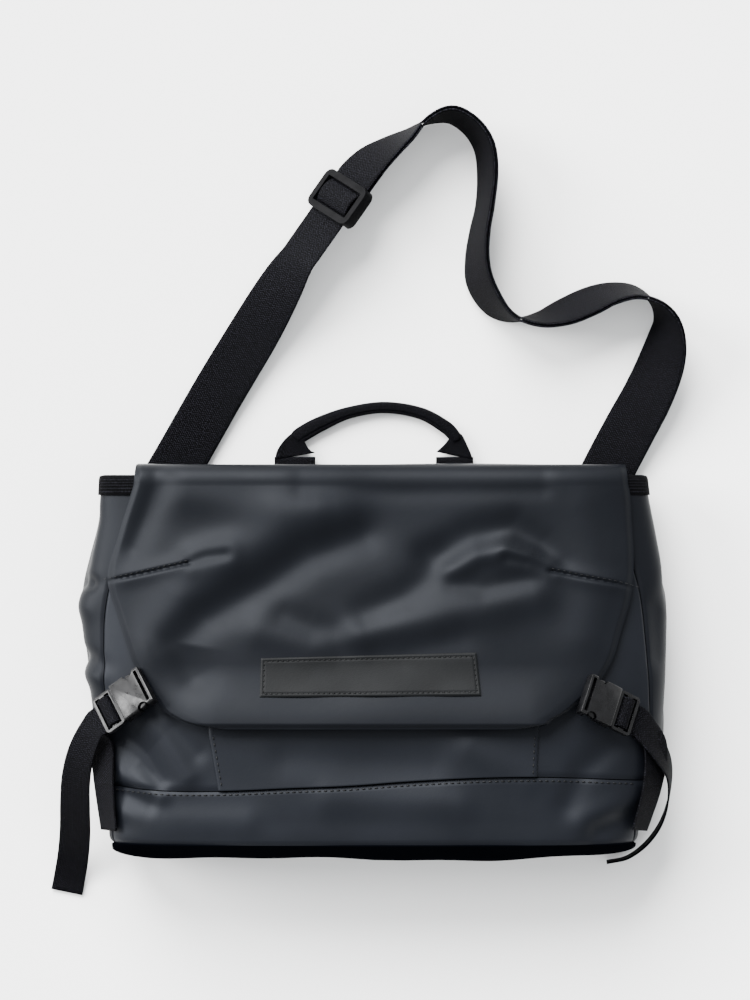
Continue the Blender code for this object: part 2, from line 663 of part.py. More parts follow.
def sampled_strap():
    """The strap's route in equal steps: middle, way across, way up, layer distance."""
    samples = smooth_route(STRAP_ROUTE, STRAP_STEP)
    rows = []
    for number, sample in enumerate(samples):
        before = Vector(samples[max(number - 1, 0)][:3])
        after = Vector(samples[min(number + 1, len(samples) - 1)][:3])
        along = (after - before).normalized()
        across = flat_twist(along, sample[3])
        across = (across - along * across.dot(along)).normalized()
        rows.append((Vector(sample[:3]), across, along.cross(across), sample[4]))
    return rows


def through_layer():
    """The layer that runs the whole way, on the route itself up to the slider."""
    reach = Vector(STRAP_ROUTE[SLIDER_POINT][:3])
    stations = []
    passed = False
    slider_along = slider_matrix().to_3x3().col[0]
    for middle, across, up, spread in sampled_strap():
        ahead = (middle - reach).dot(slider_along)
        passed = passed or ahead > 0
        lift = ease((ahead - STRAIGHT_AHEAD) / PARTING) if (middle - reach).length < NEAR_SLIDER else 1.0
        shift = spread / 2 * (lift if passed else 0.0)
        stations.append((middle + up * shift, across, STRAP_WIDTH, STRAP_THICK))
    return stations


def return_layer():
    """The layer that comes back from the ring and is sewn round the slider's middle bar."""
    matrix = slider_matrix()
    along = matrix.to_3x3().col[0]
    stations = []
    for middle, across, up, spread in sampled_strap():
        ahead = (middle - matrix.translation).dot(along)
        near = (middle - matrix.translation).length < NEAR_SLIDER
        if (near and ahead < 0.004) or (not near and not stations):
            continue
        lift = ease((ahead - STRAIGHT_AHEAD) / PARTING) if near else 1.0
        shift = between(STRAP_ROUTE[0][4], spread / 2, lift)
        stations.append((middle - up * shift, across, STRAP_WIDTH, STRAP_THICK))
    start = matrix @ Vector((SLIDER_CORE_HALF + TOUCH_GAP, 0, -STRAP_ROUTE[0][4]))
    stations.insert(0, (start, matrix.to_3x3().col[1], STRAP_WIDTH, STRAP_THICK))
    return stations


def make_slider():
    matrix = slider_matrix()
    half_open = STRAP_WIDTH / 2 + STRAP_CLEAR
    half_wide = half_open + SLIDER_RAIL
    half_long = SLIDER_LENGTH / 2
    low = (-half_long, -half_wide, SLIDER_BELOW[0])
    high = (half_long, half_wide, SLIDER_ABOVE[1])
    slider = add_object("strap_slider", placed(round_plate(low, high, SLIDER_CORNER), matrix), BLACK_PLASTIC)
    window = block((-half_long + SLIDER_BAR, -half_open, -OVERSHOOT),
                   (half_long - SLIDER_BAR, half_open, OVERSHOOT))
    combine(slider, placed(window, matrix), "DIFFERENCE", "window")
    channel = block((-half_long - OVERSHOOT, -half_open, -OVERSHOOT),
                    (half_long + OVERSHOOT, half_open, SLIDER_ABOVE[0]))
    combine(slider, placed(channel, matrix), "DIFFERENCE", "channel")
    core = block((-SLIDER_CORE_HALF, -half_open - SLIDER_RAIL / 2, SLIDER_BELOW[0] + HAIR),
                 (SLIDER_CORE_HALF, half_open + SLIDER_RAIL / 2, SLIDER_BELOW[1]))
    combine(slider, placed(core, matrix), "UNION", "middle_bar")


def end_matrix(route_place, next_place, height):
    """Frame at an end of the strap: x back along the strap, y across, z up."""
    end = Vector(STRAP_ROUTE[route_place][:3])
    other = Vector(STRAP_ROUTE[next_place][:3])
    along = (other - end)
    along.z = 0
    along.normalize()
    across = Vector((-along.y, along.x, 0))
    frame = Matrix((along, across, Vector((0, 0, 1)))).transposed().to_4x4()
    end.z = height
    return Matrix.Translation(end) @ frame


def make_strap_ends():
    """The ring on the right, its sewn tab, and the sewn end of the strap on the left."""
    matrix = end_matrix(-1, -2, RING_MIDDLE_Z)
    half_open = STRAP_WIDTH / 2 + STRAP_CLEAR
    length = RING_OPEN + 2 * RING_WIRE
    near = -TOUCH_GAP
    low = (near - length, -half_open - RING_WIRE, -RING_WIRE / 2)
    high = (near, half_open + RING_WIRE, RING_WIRE / 2)
    ring = add_object("strap_ring", placed(round_plate(low, high, RING_CORNER), matrix), BLACK_PLASTIC)
    opening = block((near - length + RING_WIRE, -half_open, -OVERSHOOT),
                    (near - RING_WIRE, half_open, OVERSHOOT))
    combine(ring, placed(opening, matrix), "DIFFERENCE", "opening")
    tab = block((near - length - TOUCH_GAP - TAB_LENGTH, -STRAP_WIDTH / 2, -STRAP_THICK / 2),
                (near - length - TOUCH_GAP, STRAP_WIDTH / 2, STRAP_THICK / 2))
    add_object("ring_tab", placed(tab, matrix), WEBBING)
    matrix = end_matrix(0, 1, STRAP_ROUTE[0][2])
    anchor = block((-TOUCH_GAP - TAB_LENGTH, -STRAP_WIDTH / 2, -STRAP_THICK / 2),
                   (-TOUCH_GAP, STRAP_WIDTH / 2, STRAP_THICK / 2))
    add_object("strap_anchor_left", placed(anchor, matrix), WEBBING)


# ---- haul handle -------------------------------------------------------------------
def make_handle():
    pivot = bpy.data.objects.new("handle_axis", None)
    pivot.location = (0, HANDLE_PIVOT[0], HANDLE_PIVOT[1])
    bpy.context.scene.collection.objects.link(pivot)
    route = [(x, y, max(HANDLE_PIVOT[1], thick / 2 + 0.0008), width, thick)
             for x, y, width, thick in HANDLE_ROUTE]
    samples = smooth_route(route, HANDLE_STEP)
    stations = []
    for number, sample in enumerate(samples):
        before = Vector(samples[max(number - 1, 0)][:3])
        after = Vector(samples[min(number + 1, len(samples) - 1)][:3])
        across = flat_twist((after - before).normalized(), 0)
        if number in (0, len(samples) - 1):
            across = Vector((-1 if number == 0 else 1, 0, 0))
        stations.append((Vector(sample[:3]), across, sample[3], sample[4]))
    loop = ribbon("handle_loop", stations, WEBBING)
    loop.parent = pivot
    loop.matrix_parent_inverse = Matrix.Translation(pivot.location).inverted()
    for side, x in (("left", HANDLE_LEFT_X), ("right", HANDLE_RIGHT_X)):
        low = (x - HANDLE_TAPE_WIDTH / 2, HANDLE_END_FOOT, HANDLE_PIVOT[1] - HANDLE_TAPE_THICK / 2)
        high = (x + HANDLE_TAPE_WIDTH / 2, HANDLE_PIVOT[0] - HINGE_GAP * 0.8,
                HANDLE_PIVOT[1] + HANDLE_TAPE_THICK / 2)
        add_object("handle_end_" + side, block(low, high), WEBBING)


# ---- buckles -----------------------------------------------------------------------
def buckle_matrix(side):
    """Buckle frame: x along it to the flap, y across, z out of its top face."""
    place = BUCKLES[side]
    top = Vector(place["top"]).normalized()
    flat = Vector((*place["axis"], 0)).normalized()
    rise = -(flat.x * top.x + flat.y * top.y) / top.z
    along = Vector((flat.x, flat.y, rise)).normalized()
    across = top.cross(along)
    x, y = place["middle"]
    middle = front_point(x, y, 0.0) + Vector((0, 0, place["raise"]))
    frame = Matrix((along, across, top)).transposed().to_4x4()
    return Matrix.Translation(middle) @ frame


def make_socket(side):
    """The female half: a hollow box with side windows and a slot for its webbing."""
    matrix = buckle_matrix(side)
    half = BUCKLE_WIDTH / 2
    high = BUCKLE_HEIGHT / 2
    shell = block((BUCKLE_GAP / 2, -half, -high), (SOCKET_LENGTH, half, high), SOCKET_ROUND, 2)
    socket = add_object("buckle_socket_" + side, placed(shell, matrix), BLACK_PLASTIC)
    cavity = block((-OVERSHOOT, -half + SOCKET_WALL, -high + SOCKET_WALL),
                   (SOCKET_LENGTH - SOCKET_SOLID, half - SOCKET_WALL, high - SOCKET_WALL))
    combine(socket, placed(cavity, matrix), "DIFFERENCE", "cavity")
    for number, hand in enumerate((-1, 1)):
        window = bmesh.new()
        bmesh.ops.create_cone(window, cap_ends=True, segments=20, radius1=WINDOW_RADIUS,
                              radius2=WINDOW_RADIUS, depth=BUCKLE_HEIGHT + OVERSHOOT)
        bmesh.ops.translate(window, vec=(WINDOW_START + WINDOW_RADIUS, hand * (half + WINDOW_OUT), 0),
                            verts=window.verts)
        combine(socket, placed(window, matrix), "DIFFERENCE", "window_%d" % number)
    slot_low = SOCKET_LENGTH - SOCKET_SOLID + SOCKET_LIP
    slot = block((slot_low, -SIDE_WIDTH / 2 - BUCKLE_GAP, -OVERSHOOT),
                 (slot_low + SLOT_LENGTH, SIDE_WIDTH / 2 + BUCKLE_GAP, OVERSHOOT))
    combine(socket, placed(slot, matrix), "DIFFERENCE", "slot")


def make_plug(side):
    """The male half: a two-slot frame for the strap and a middle guide."""
    matrix = buckle_matrix(side)
    half = BUCKLE_WIDTH / 2
    thick = FRAME_THICK / 2
    plate = round_plate((-FRAME_LENGTH, -half, -thick), (-BUCKLE_GAP / 2, half, thick), FRAME_CORNER, 3)
    plug = add_object("buckle_plug_" + side, placed(plate, matrix), BLACK_PLASTIC)
    start = -FRAME_LENGTH + FRAME_END_BAR
    for number in range(2):
        low = start + number * (FRAME_SLOT + FRAME_CORE)
        slot = block((low, -half + FRAME_RAIL, -OVERSHOOT), (low + FRAME_SLOT, half - FRAME_RAIL, OVERSHOOT))
        combine(plug, placed(slot, matrix), "DIFFERENCE", "slot_%d" % number)
    guide = block((-0.0015, -GUIDE_HALF, -thick + HAIR), (GUIDE_LENGTH, GUIDE_HALF, thick - HAIR),
                  0.0006, 1)
    combine(plug, placed(guide, matrix), "UNION", "guide")


def make_prongs(side):
    """Two spring arms with barbs, each on its own root axis."""
    matrix = buckle_matrix(side)
    for label, hand in (("a", 1), ("b", -1)):
        pivot = bpy.data.objects.new("prong_%s_%s_axis" % (side, label), None)
        pivot.matrix_world = matrix @ Matrix.Translation(
            (PRONG_ROOT, hand * (PRONG_INNER + PRONG_THICK / 2), 0))
        bpy.context.scene.collection.objects.link(pivot)
        builder = bmesh.new()
        outer = PRONG_INNER + PRONG_THICK
        outline = ((PRONG_ROOT - PRONG_BITE, PRONG_INNER), (PRONG_TIP - 0.002, PRONG_INNER),
                   (PRONG_TIP, PRONG_INNER + 0.001), (PRONG_TIP, outer + 0.0006),
                   (PRONG_TIP - 0.0022, BARB_OUT - 0.0004), (PRONG_TIP - 0.0038, BARB_OUT),
                   (BARB_START, BARB_OUT), (BARB_START, outer), (PRONG_ROOT - PRONG_BITE, outer))
        corners = [builder.verts.new((x, hand * y, -PRONG_HIGH / 2)) for x, y in outline]
        face = builder.faces.new(corners)
        raised = bmesh.ops.extrude_face_region(builder, geom=[face], use_keep_orig=True)
        for piece in raised["geom"]:
            if isinstance(piece, bmesh.types.BMVert):
                piece.co.z = PRONG_HIGH / 2
        prong = add_object("prong_%s_%s" % (side, label), placed(builder, matrix), BLACK_PLASTIC)
        prong.parent = pivot
        prong.matrix_parent_inverse = pivot.matrix_world.inverted()


def make_flap_tab(side):
    """Webbing sewn under the flap that carries the socket."""
    matrix = buckle_matrix(side)
    across = matrix.to_3x3().col[1]
    bar = matrix @ Vector((SOCKET_LENGTH, 0, 0))
    inward = Vector((*BUCKLES[side]["axis"], 0)).normalized()
    pairs = []
    for reach in TAB_REACHES:
        spot = bar + inward * reach
        rise = TAB_RISE if reach < 0 else TAB_GAP
        under = front_point(spot.x, spot.y, (TAB[0] + TAB[1]) / 2 + rise)
        one = spot + across * (TAB_WIDTH / 2)
        other = spot - across * (TAB_WIDTH / 2)
        slope = front_point(one.x, one.y, TAB[1]) - front_point(other.x, other.y, TAB[1])
        pairs.append((under, slope.normalized()))
    stations = []
    for (first, way), (second, next_way) in zip(pairs, pairs[1:]):
        for number in range(TAB_PARTS):
            share = number / TAB_PARTS
            stations.append((first.lerp(second, share), way.lerp(next_way, share).normalized(),
                             TAB_WIDTH, TAB[1] - TAB[0]))
    stations.append((*pairs[-1], TAB_WIDTH, TAB[1] - TAB[0]))
    ribbon("flap_tab_" + side, stations, WEBBING)


# ---- side straps -------------------------------------------------------------------
def local_stations(matrix, points):
    return [(matrix @ Vector((x, 0, z)), matrix.to_3x3().col[1]) for x, z in points]


def band_stations(pairs, step, width, thickness):
    """Stations of a band through (middle, way across) pairs, smoothed and sampled by step."""
    samples = smooth_route([(*middle, *across) for middle, across in pairs], step)
    return [(Vector(sample[:3]), Vector(sample[3:]).normalized(), width, thickness)
            for sample in samples]


def make_side_strap(side):
    """The fixed run from the bottom corner to the frame, and the free tail."""
    matrix = buckle_matrix(side)
    hand = -1 if side == "left" else 1
    start = -FRAME_LENGTH + FRAME_END_BAR
    slot_a = start + FRAME_SLOT / 2
    slot_b = slot_a + FRAME_SLOT + FRAME_CORE
    under = FRAME_THICK / 2 + SIDE_THICK / 2 + BUCKLE_GAP
    lower = under + SIDE_THICK + BUCKLE_GAP
    pairs = []
    for share, angle, out in SIDE_STRAP_SKIN:
        y = between(BODY_BOTTOM, BODY_MOUTH, share)
        turn = angle if hand > 0 else 180 - angle
        point = section(y, turn, out)
        above = section(y, turn + hand * 4, out) - section(y, turn - hand * 4, out)
        pairs.append((point, above.normalized() * (1 if side == "right" else -1)))
    pairs += local_stations(matrix, ((start - 0.010, -lower - 0.0012), (start, -lower),
                                     (slot_b, -lower)))
    ribbon("side_strap_" + side, band_stations(pairs, TAIL_STEP, TAIL_WIDTH, SIDE_THICK),
           WEBBING)
    core = (slot_a + slot_b) / 2
    weave = local_stations(matrix, (
        (slot_b, -under - 0.0006), (slot_b, FRAME_THICK / 2 - WEAVE_TURN),
        (core + CORE_TURN, under), (core - CORE_TURN, under),
        (slot_a, FRAME_THICK / 2 - WEAVE_TURN), (slot_a, WEAVE_TURN - FRAME_THICK / 2),
        (start + HAIR, -under), (start - FRAME_END_BAR, -under)))
    stations = [(middle, across, TAIL_WIDTH, SIDE_THICK) for middle, across in weave]
    pairs = local_stations(matrix, ((start - 0.0060, -under + BUCKLE_GAP), (start - 0.0100, -under)))
    pairs += [(Vector(middle), Vector(across)) for middle, across in TAIL_ROUTES[side]]
    stations += band_stations(pairs, TAIL_STEP, TAIL_WIDTH, SIDE_THICK)
    ribbon("tail_" + side, stations, WEBBING)


def main():
    clear_scene()
    make_shell()
    make_mouth_tapes()
    make_front_pocket()
    make_inside()
    slab("base_board", base_board_surface, 16, 5, BOARD_LAYER, BOARD)
    make_flap()
    make_shoulder_strap()
    make_slider()
    make_strap_ends()
    make_handle()
    for side in ("left", "right"):
        make_socket(side)
        make_plug(side)
        make_prongs(side)
        make_flap_tab(side)
        make_side_strap(side)


main()
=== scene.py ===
from math import atan, pi, radians, sin

import bmesh
import bpy
import numpy as np
from bpy.props import FloatProperty, FloatVectorProperty, PointerProperty
from mathutils import Matrix, Vector


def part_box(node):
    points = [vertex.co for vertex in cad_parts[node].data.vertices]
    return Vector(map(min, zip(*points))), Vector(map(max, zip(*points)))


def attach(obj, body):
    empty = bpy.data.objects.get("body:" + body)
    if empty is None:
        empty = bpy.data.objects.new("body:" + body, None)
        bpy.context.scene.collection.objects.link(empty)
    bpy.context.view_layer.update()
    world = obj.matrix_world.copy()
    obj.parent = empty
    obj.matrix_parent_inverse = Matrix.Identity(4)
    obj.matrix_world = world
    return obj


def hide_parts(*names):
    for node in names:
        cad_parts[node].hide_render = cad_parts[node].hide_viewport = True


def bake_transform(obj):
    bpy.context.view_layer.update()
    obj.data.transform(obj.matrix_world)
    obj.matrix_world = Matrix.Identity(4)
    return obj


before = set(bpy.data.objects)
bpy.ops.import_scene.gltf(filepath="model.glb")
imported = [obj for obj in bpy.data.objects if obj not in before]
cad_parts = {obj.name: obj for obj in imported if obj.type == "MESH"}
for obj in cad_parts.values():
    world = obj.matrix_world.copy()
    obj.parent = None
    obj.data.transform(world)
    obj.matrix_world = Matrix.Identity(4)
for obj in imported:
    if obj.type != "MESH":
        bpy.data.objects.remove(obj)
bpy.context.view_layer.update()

bl_info = {
    "name": "Messenger Bag",
    "version": (1, 0, 0),
    "blender": (4, 5, 0),
    "location": "View3D > Sidebar > Bag",
    "description": "Builds a flat-lying messenger bag with its flap, straps and buckles",
    "category": "Add Mesh",
}

MM = 0.001

# ---- body measurements, in millimetres ---------------------------------------------
MOUTH = 132.0
FOOT = -128.0
LEFT_SIDE = ((-134, -183), (-128, -187), (-112, -189), (-95, -192), (-79, -194.5), (-55, -198),
             (-27, -201), (9, -206), (33, -208.2), (57, -207), (75, -203), (99, -197.5), (123, -195),
             (134, -194.5))
RIGHT_SIDE = ((-134, 185), (-128, 189), (-118, 191.5), (-100, 198), (-80, 203), (-60, 205.5),
              (-28, 208), (17, 210.5), (49, 210.3), (86, 203.5), (126, 196.5), (134, 195.5))
FRONT_HEIGHT = ((-134, 93), (-128, 94), (-110, 94), (-60, 91), (0, 84), (60, 73), (110, 64), (134, 61))
BACK_LIFT = 8.5
LIFT_START, LIFT_END = 26.0, 78.0
FRONT_POWER, BACK_POWER = 3.0, 5.0      # squareness of the section, in front and behind
BACK_FLATTEN = 1.012                    # pushes the middle of the back flat on the floor
BAND_SEAM = -86.0               # middle height of the seam between front and lower band
BOTTOM_BULGE = 12.5
SKIN_THICK = 1.4
LINING_DEPTH = 7.0
DEEPEST_FOLD = 3.2              # keeps the folds clear of the lining

# ---- flap --------------------------------------------------------------------------
FLAP_LEFT = ((-46, -104), (-44.6, -114), (-41.8, -128.4), (-36.2, -142.5), (-23.4, -155), (-14, -161),
             (-1, -169), (18, -176), (35, -181.5), (58, -188.5), (95, -180.5), (130, -169.5), (142, -166.5))
FLAP_RIGHT = ((-46, 100), (-44.6, 112), (-38, 129), (-23.4, 150.4), (-2, 167.5), (24, 176.8), (51, 184.4),
              (75, 186), (100, 185), (125, 183), (142, 177))
FLAP_FOOT = -45.5
FLAP_RISE = 6.0
FOLD_START = 127.0
FOLD_DEPTH = 14.5
FRONT_SHARE = 0.86              # share of the flap that lies on the front
FOOT_RISE, FOOT_RISE_UP = 7.5, 46.0     # how far its bottom edge stands off, fading upwards
OVER_DROP, OVER_FOOT, OVER_TURN = 12.0, 10.0, 0.42      # the fold: drop, lowest height, share turned


# ---- small tools -------------------------------------------------------------------
def linear(code):
    """One sRGB hex colour as a linear RGBA tuple."""
    parts = [int(code[place:place + 2], 16) / 255 for place in (1, 3, 5)]
    return tuple(part / 12.92 if part <= 0.04045 else ((part + 0.055) / 1.055) ** 2.4
                 for part in parts) + (1.0,)


def ease(share):
    """Slow start and slow end between 0 and 1."""
    share = np.clip(share, 0.0, 1.0)
    return share * share * (3 - 2 * share)


def through(places, values, slopes, at):
    """Smooth curve through values at their places, each with its slope, read at an array of places."""
    number = np.clip(np.searchsorted(places, at) - 1, 0, len(places) - 2)
    span = places[number + 1] - places[number]
    share = np.clip((at - places[number]) / span, 0, 1)
    if values.ndim > 1:
        span, share = span[:, None], share[:, None]
    square, cube = share ** 2, share ** 3
    return (values[number] * (2 * cube - 3 * square + 1) + slopes[number] * span * (cube - 2 * square + share)
            + values[number + 1] * (3 * square - 2 * cube) + slopes[number + 1] * span * (cube - square))


def profile(stops, place):
    """Smooth curve through (place, value) stops, for an array of places."""
    places, values = np.array(stops, float).T
    return through(places, values, np.gradient(values, places), place)


def reach_along(path):
    """Distance run from a path's first point to each of its points."""
    return np.concatenate(([0.0], np.cumsum(np.linalg.norm(np.diff(path[:, :3], axis=0), axis=1))))


def unit(directions):
    return directions / np.linalg.norm(directions, axis=1)[:, None]


def ridge(points, line, height, width):
    """Rounded fold along a line: height and width are the crest's, in millimetres."""
    line = np.array(line, float)
    nearest = np.full(len(points), 1e9)
    for low, high in zip(line[:-1], line[1:]):
        run = high - low
        share = np.clip((points - low) @ run / (run @ run), 0, 1)
        nearest = np.minimum(nearest, np.linalg.norm(points - low - share[:, None] * run, axis=1))
    return height * np.exp(-(nearest / width) ** 2)


def folds(points, list_of_folds):
    """Sum of several ridges, each a line with its height and width."""
    return sum(ridge(points, *fold) for fold in list_of_folds)


def out_from(surface, u, v, relief):
    """Points of surface(u, v) moved along its own normal by relief."""
    step = 1e-3
    ahead, behind = np.minimum(u + step, 1), np.maximum(u - step, 0)
    above, below = np.minimum(v + step, 1), np.maximum(v - step, 0)
    normal = np.cross(surface(ahead, v) - surface(behind, v), surface(u, above) - surface(u, below))
    size = np.linalg.norm(normal, axis=1)[:, None]
    return surface(u, v) + normal / np.maximum(size, 1e-9) * relief[:, None]


def finish_mesh(name, builder, material):
    """Turn a bmesh into a smooth object at the origin, with its material or materials."""
    mesh = bpy.data.meshes.new(name)
    builder.to_mesh(mesh)
    builder.free()
    mesh.shade_smooth()
    piece = bpy.data.objects.new(name, mesh)
    bpy.context.scene.collection.objects.link(piece)
    for one in material if isinstance(material, (list, tuple)) else (material,):
        mesh.materials.append(one)
    return piece


def cloth_grid(surface, columns, rows, weave=(1.0, 1.0)):
    """A grid laid on surface(u, v), in millimetres, with a UV map in metres of cloth."""
    builder = bmesh.new()
    bmesh.ops.create_grid(builder, x_segments=columns, y_segments=rows, size=0.5)
    corners = list(builder.verts)
    u = np.array([corner.co.x + 0.5 for corner in corners])
    v = np.array([corner.co.y + 0.5 for corner in corners])
    layer = builder.loops.layers.uv.new("Weave")
    for face in builder.faces:
        for loop in face.loops:
            corner = loop.vert.co
            loop[layer].uv = ((corner.x + 0.5) * weave[0], (corner.y + 0.5) * weave[1])
    for corner, place in zip(corners, surface(u, v) * MM):
        corner.co = place
    return builder


def add_wall(piece, thickness, offset=-1.0, rim_bevel=0.0):
    """Give a single surface its thickness, and round its rim."""
    wall = piece.modifiers.new("wall", "SOLIDIFY")
    wall.thickness = thickness * MM
    wall.offset = offset
    wall.use_even_offset = True
    if len(piece.data.materials) > 1:
        wall.material_offset = 1
    if rim_bevel:
        rounding = piece.modifiers.new("rim", "BEVEL")
        rounding.width = rim_bevel * MM
        rounding.segments = 2
        rounding.limit_method = "ANGLE"
        rounding.angle_limit = radians(50)
    return settle(piece)


def settle(piece):
    """Apply a piece's modifiers."""
    bpy.context.view_layer.update()
    graph = bpy.context.evaluated_depsgraph_get()
    mesh = bpy.data.meshes.new_from_object(piece.evaluated_get(graph))
    piece.modifiers.clear()
    piece.data = mesh
    mesh.shade_smooth()
    mesh.set_sharp_from_angle(angle=radians(50))
    return piece


def belongs(piece, body, slot, *nodes):
    """Put a piece on its body and hide the CAD nodes it stands for; slot is not used."""
    if body:
        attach(piece, body)
    if nodes:
        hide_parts(*nodes)
    return piece


def route_samples(points, step):
    """Even samples along one smooth curve through points of any length; the first three are x, y, z."""
    points = np.array(points, float)
    reach = reach_along(points)
    gaps = np.diff(reach)
    places = np.linspace(0, reach[-1], max(3, int(round(reach[-1] / step)) + 1))
    slopes = np.empty_like(points)
    slopes[1:-1] = (points[2:] - points[:-2]) / (reach[2:] - reach[:-2])[:, None]
    slopes[0] = (points[1] - points[0]) / gaps[0]
    slopes[-1] = (points[-1] - points[-2]) / gaps[-1]
    return through(reach, points, slopes, places)


def directions_on(middles, acrosses):
    """Way across and way up at each middle of a path, square to the path."""
    along = unit(np.gradient(middles, axis=0))
    across = unit(acrosses - along * np.sum(acrosses * along, axis=1)[:, None])
    return across, np.cross(along, across)


def band_section(width, thickness, count=12):
    """Outline of a webbing strap: flat faces with full, rounded edges."""
    top = [(width * (number / count - 0.5) * 0.955, thickness / 2) for number in range(count + 1)]
    edge = [(width / 2 - thickness * 0.12, thickness * 0.30), (width / 2, 0.0),
            (width / 2 - thickness * 0.12, -thickness * 0.30)]
    half = top + edge
    return half + [(-across, -up) for across, up in half]


def close_tube(builder, sides):
    """Join a rolled grid into a tube, fill holes of up to that many sides, face it outwards."""
    bmesh.ops.remove_doubles(builder, verts=builder.verts, dist=1e-6)
    if sides:
        bmesh.ops.holes_fill(builder, edges=builder.edges, sides=sides)
    bmesh.ops.recalc_face_normals(builder, faces=builder.faces)


def swept(name, middles, acrosses, section, shape, cloth_scale, material):
    """A section swept along its middles; shape(row, side, high) sizes the section's corners there."""
    across, up = directions_on(middles, acrosses)
    reach = reach_along(middles)
    count, rows = len(section), len(middles) - 1

    def surface(u, v):
        row = np.rint(v * rows).astype(int)
        corner = np.rint(u * count).astype(int) % count
        wide, tall = shape(row, section[corner, 0], section[corner, 1])
        return middles[row] + across[row] * wide[:, None] + up[row] * tall[:, None]

    builder = cloth_grid(surface, count, rows)
    layer = builder.loops.layers.uv["Weave"]
    for face in builder.faces:
        for loop in face.loops:
            u, v = loop[layer].uv
            corner, row = int(round(u * count)) % count, int(round(v * rows))
            loop[layer].uv = (section[corner, 0] * cloth_scale, reach[row] * MM)
    close_tube(builder, count + 2)
    return finish_mesh(name, builder, material)


def webbing(name, middles, acrosses, width, thickness, material):
    """A strap swept along its middles, each with its own way across; all in millimetres."""
    section = np.array(band_section(width, thickness))
    return swept(name, middles, acrosses, section, lambda row, side, high: (side, high), MM, material)


# ---- materials ---------------------------------------------------------------------
def add_node(tree, kind, links=(), **settings):
    """Add a shader node with its settings; a link or a value goes in by input name."""
    made = tree.nodes.new("ShaderNode" + kind)
    for name, value in settings.items():
        setattr(made, name, value)
    for socket, value in dict(links).items():
        if isinstance(value, bpy.types.NodeSocket):
            tree.links.new(value, made.inputs[socket])
        else:
            made.inputs[socket].default_value = value
    return made


def new_material(name, roughness, ior=1.5, **constants):
    """A material with its constants set on the shader's own sockets."""
    material = bpy.data.materials.new(name)
    material.use_nodes = True
    tree = material.node_tree
    shader = tree.nodes["Principled BSDF"]
    shader.inputs["Roughness"].default_value = roughness
    shader.inputs["IOR"].default_value = ior
    for socket, value in constants.items():
        shader.inputs[socket.replace("_", " ")].default_value = value
    return material, tree, shader


def shaded(colour, share):
    """The same colour with that share of its light."""
    return tuple(min(1.0, part * share) for part in tuple(colour)[:3]) + (1.0,)


def per_metre(size_mm):
    """Texture scale for a feature of that many millimetres."""
    return 1000.0 / size_mm


def on_object(tree):
    return add_node(tree, "TexCoord").outputs["Object"]


def noise(tree, place, size_mm, detail=2.0, roughness=0.5):
    """Cloudy pattern with features of about that many millimetres."""
    return add_node(tree, "TexNoise", {"Vector": place, "Scale": per_metre(size_mm), "Detail": detail,
                                       "Roughness": roughness}).outputs["Fac"]


def worked(tree, operation, first, second=0.0):
    """Result of one Math node."""
    return add_node(tree, "Math", {0: first, 1: second}, operation=operation).outputs[0]


def threads(tree, distance, spacing_mm):
    """Waves from -1 to 1 across the threads, one every spacing_mm."""
    return worked(tree, "SINE", worked(tree, "MULTIPLY", distance, 2 * pi / (spacing_mm * MM)))


def ranged(tree, value, low, high, to_low=0.0, to_high=1.0):
    """A value's range from low to high, carried to another range."""
    return add_node(tree, "MapRange", {"Value": value, "From Min": low, "From Max": high,
                                       "To Min": to_low, "To Max": to_high}).outputs["Result"]


def paint(tree, shader, factor, dark, light, low=0.0, high=1.0):
    """Colour a material from dark to light over part of a factor's range."""
    ramp = add_node(tree, "ValToRGB", {"Fac": factor})
    for stop, place, colour in zip(ramp.color_ramp.elements, (low, high), (dark, light)):
        stop.position = place
        stop.color = colour
    tree.links.new(ramp.outputs["Color"], shader.inputs["Base Color"])


def emboss(tree, shader, height, strength, depth_mm):
    """Raise a material's surface by a height pattern."""
    bump = add_node(tree, "Bump", {"Height": height, "Strength": strength, "Distance": depth_mm * MM})
    tree.links.new(bump.outputs["Normal"], shader.inputs["Normal"])


def coated_fabric(name="coated_polyester", share=1.0, shine=0.1):
    # Polyurethane-coated polyester twill: a satin film over a fine cloth, so broad soft
    # highlights, a faint grain, and cloudy patches where the film has been handled.
    colour = shaded(colours().fabric, share)
    material, tree, shader = new_material(name, 0.5, 1.45, Specular_IOR_Level=shine,
                                          Specular_Tint=linear("#eef3fc"))
    place = on_object(tree)
    clouds = noise(tree, place, 70, 4.0, 0.55)
    grain = noise(tree, place, 0.9, 3.0, 0.6)
    slubs = noise(tree, place, 5)
    paint(tree, shader, clouds, shaded(colour, 0.85), shaded(colour, 1.15), 0.3, 0.7)
    tree.links.new(ranged(tree, clouds, 0.3, 0.7, 0.46, 0.56), shader.inputs["Roughness"])
    height = worked(tree, "ADD", grain, worked(tree, "MULTIPLY", slubs, 0.8))
    emboss(tree, shader, height, 0.35, 0.12)
    return material


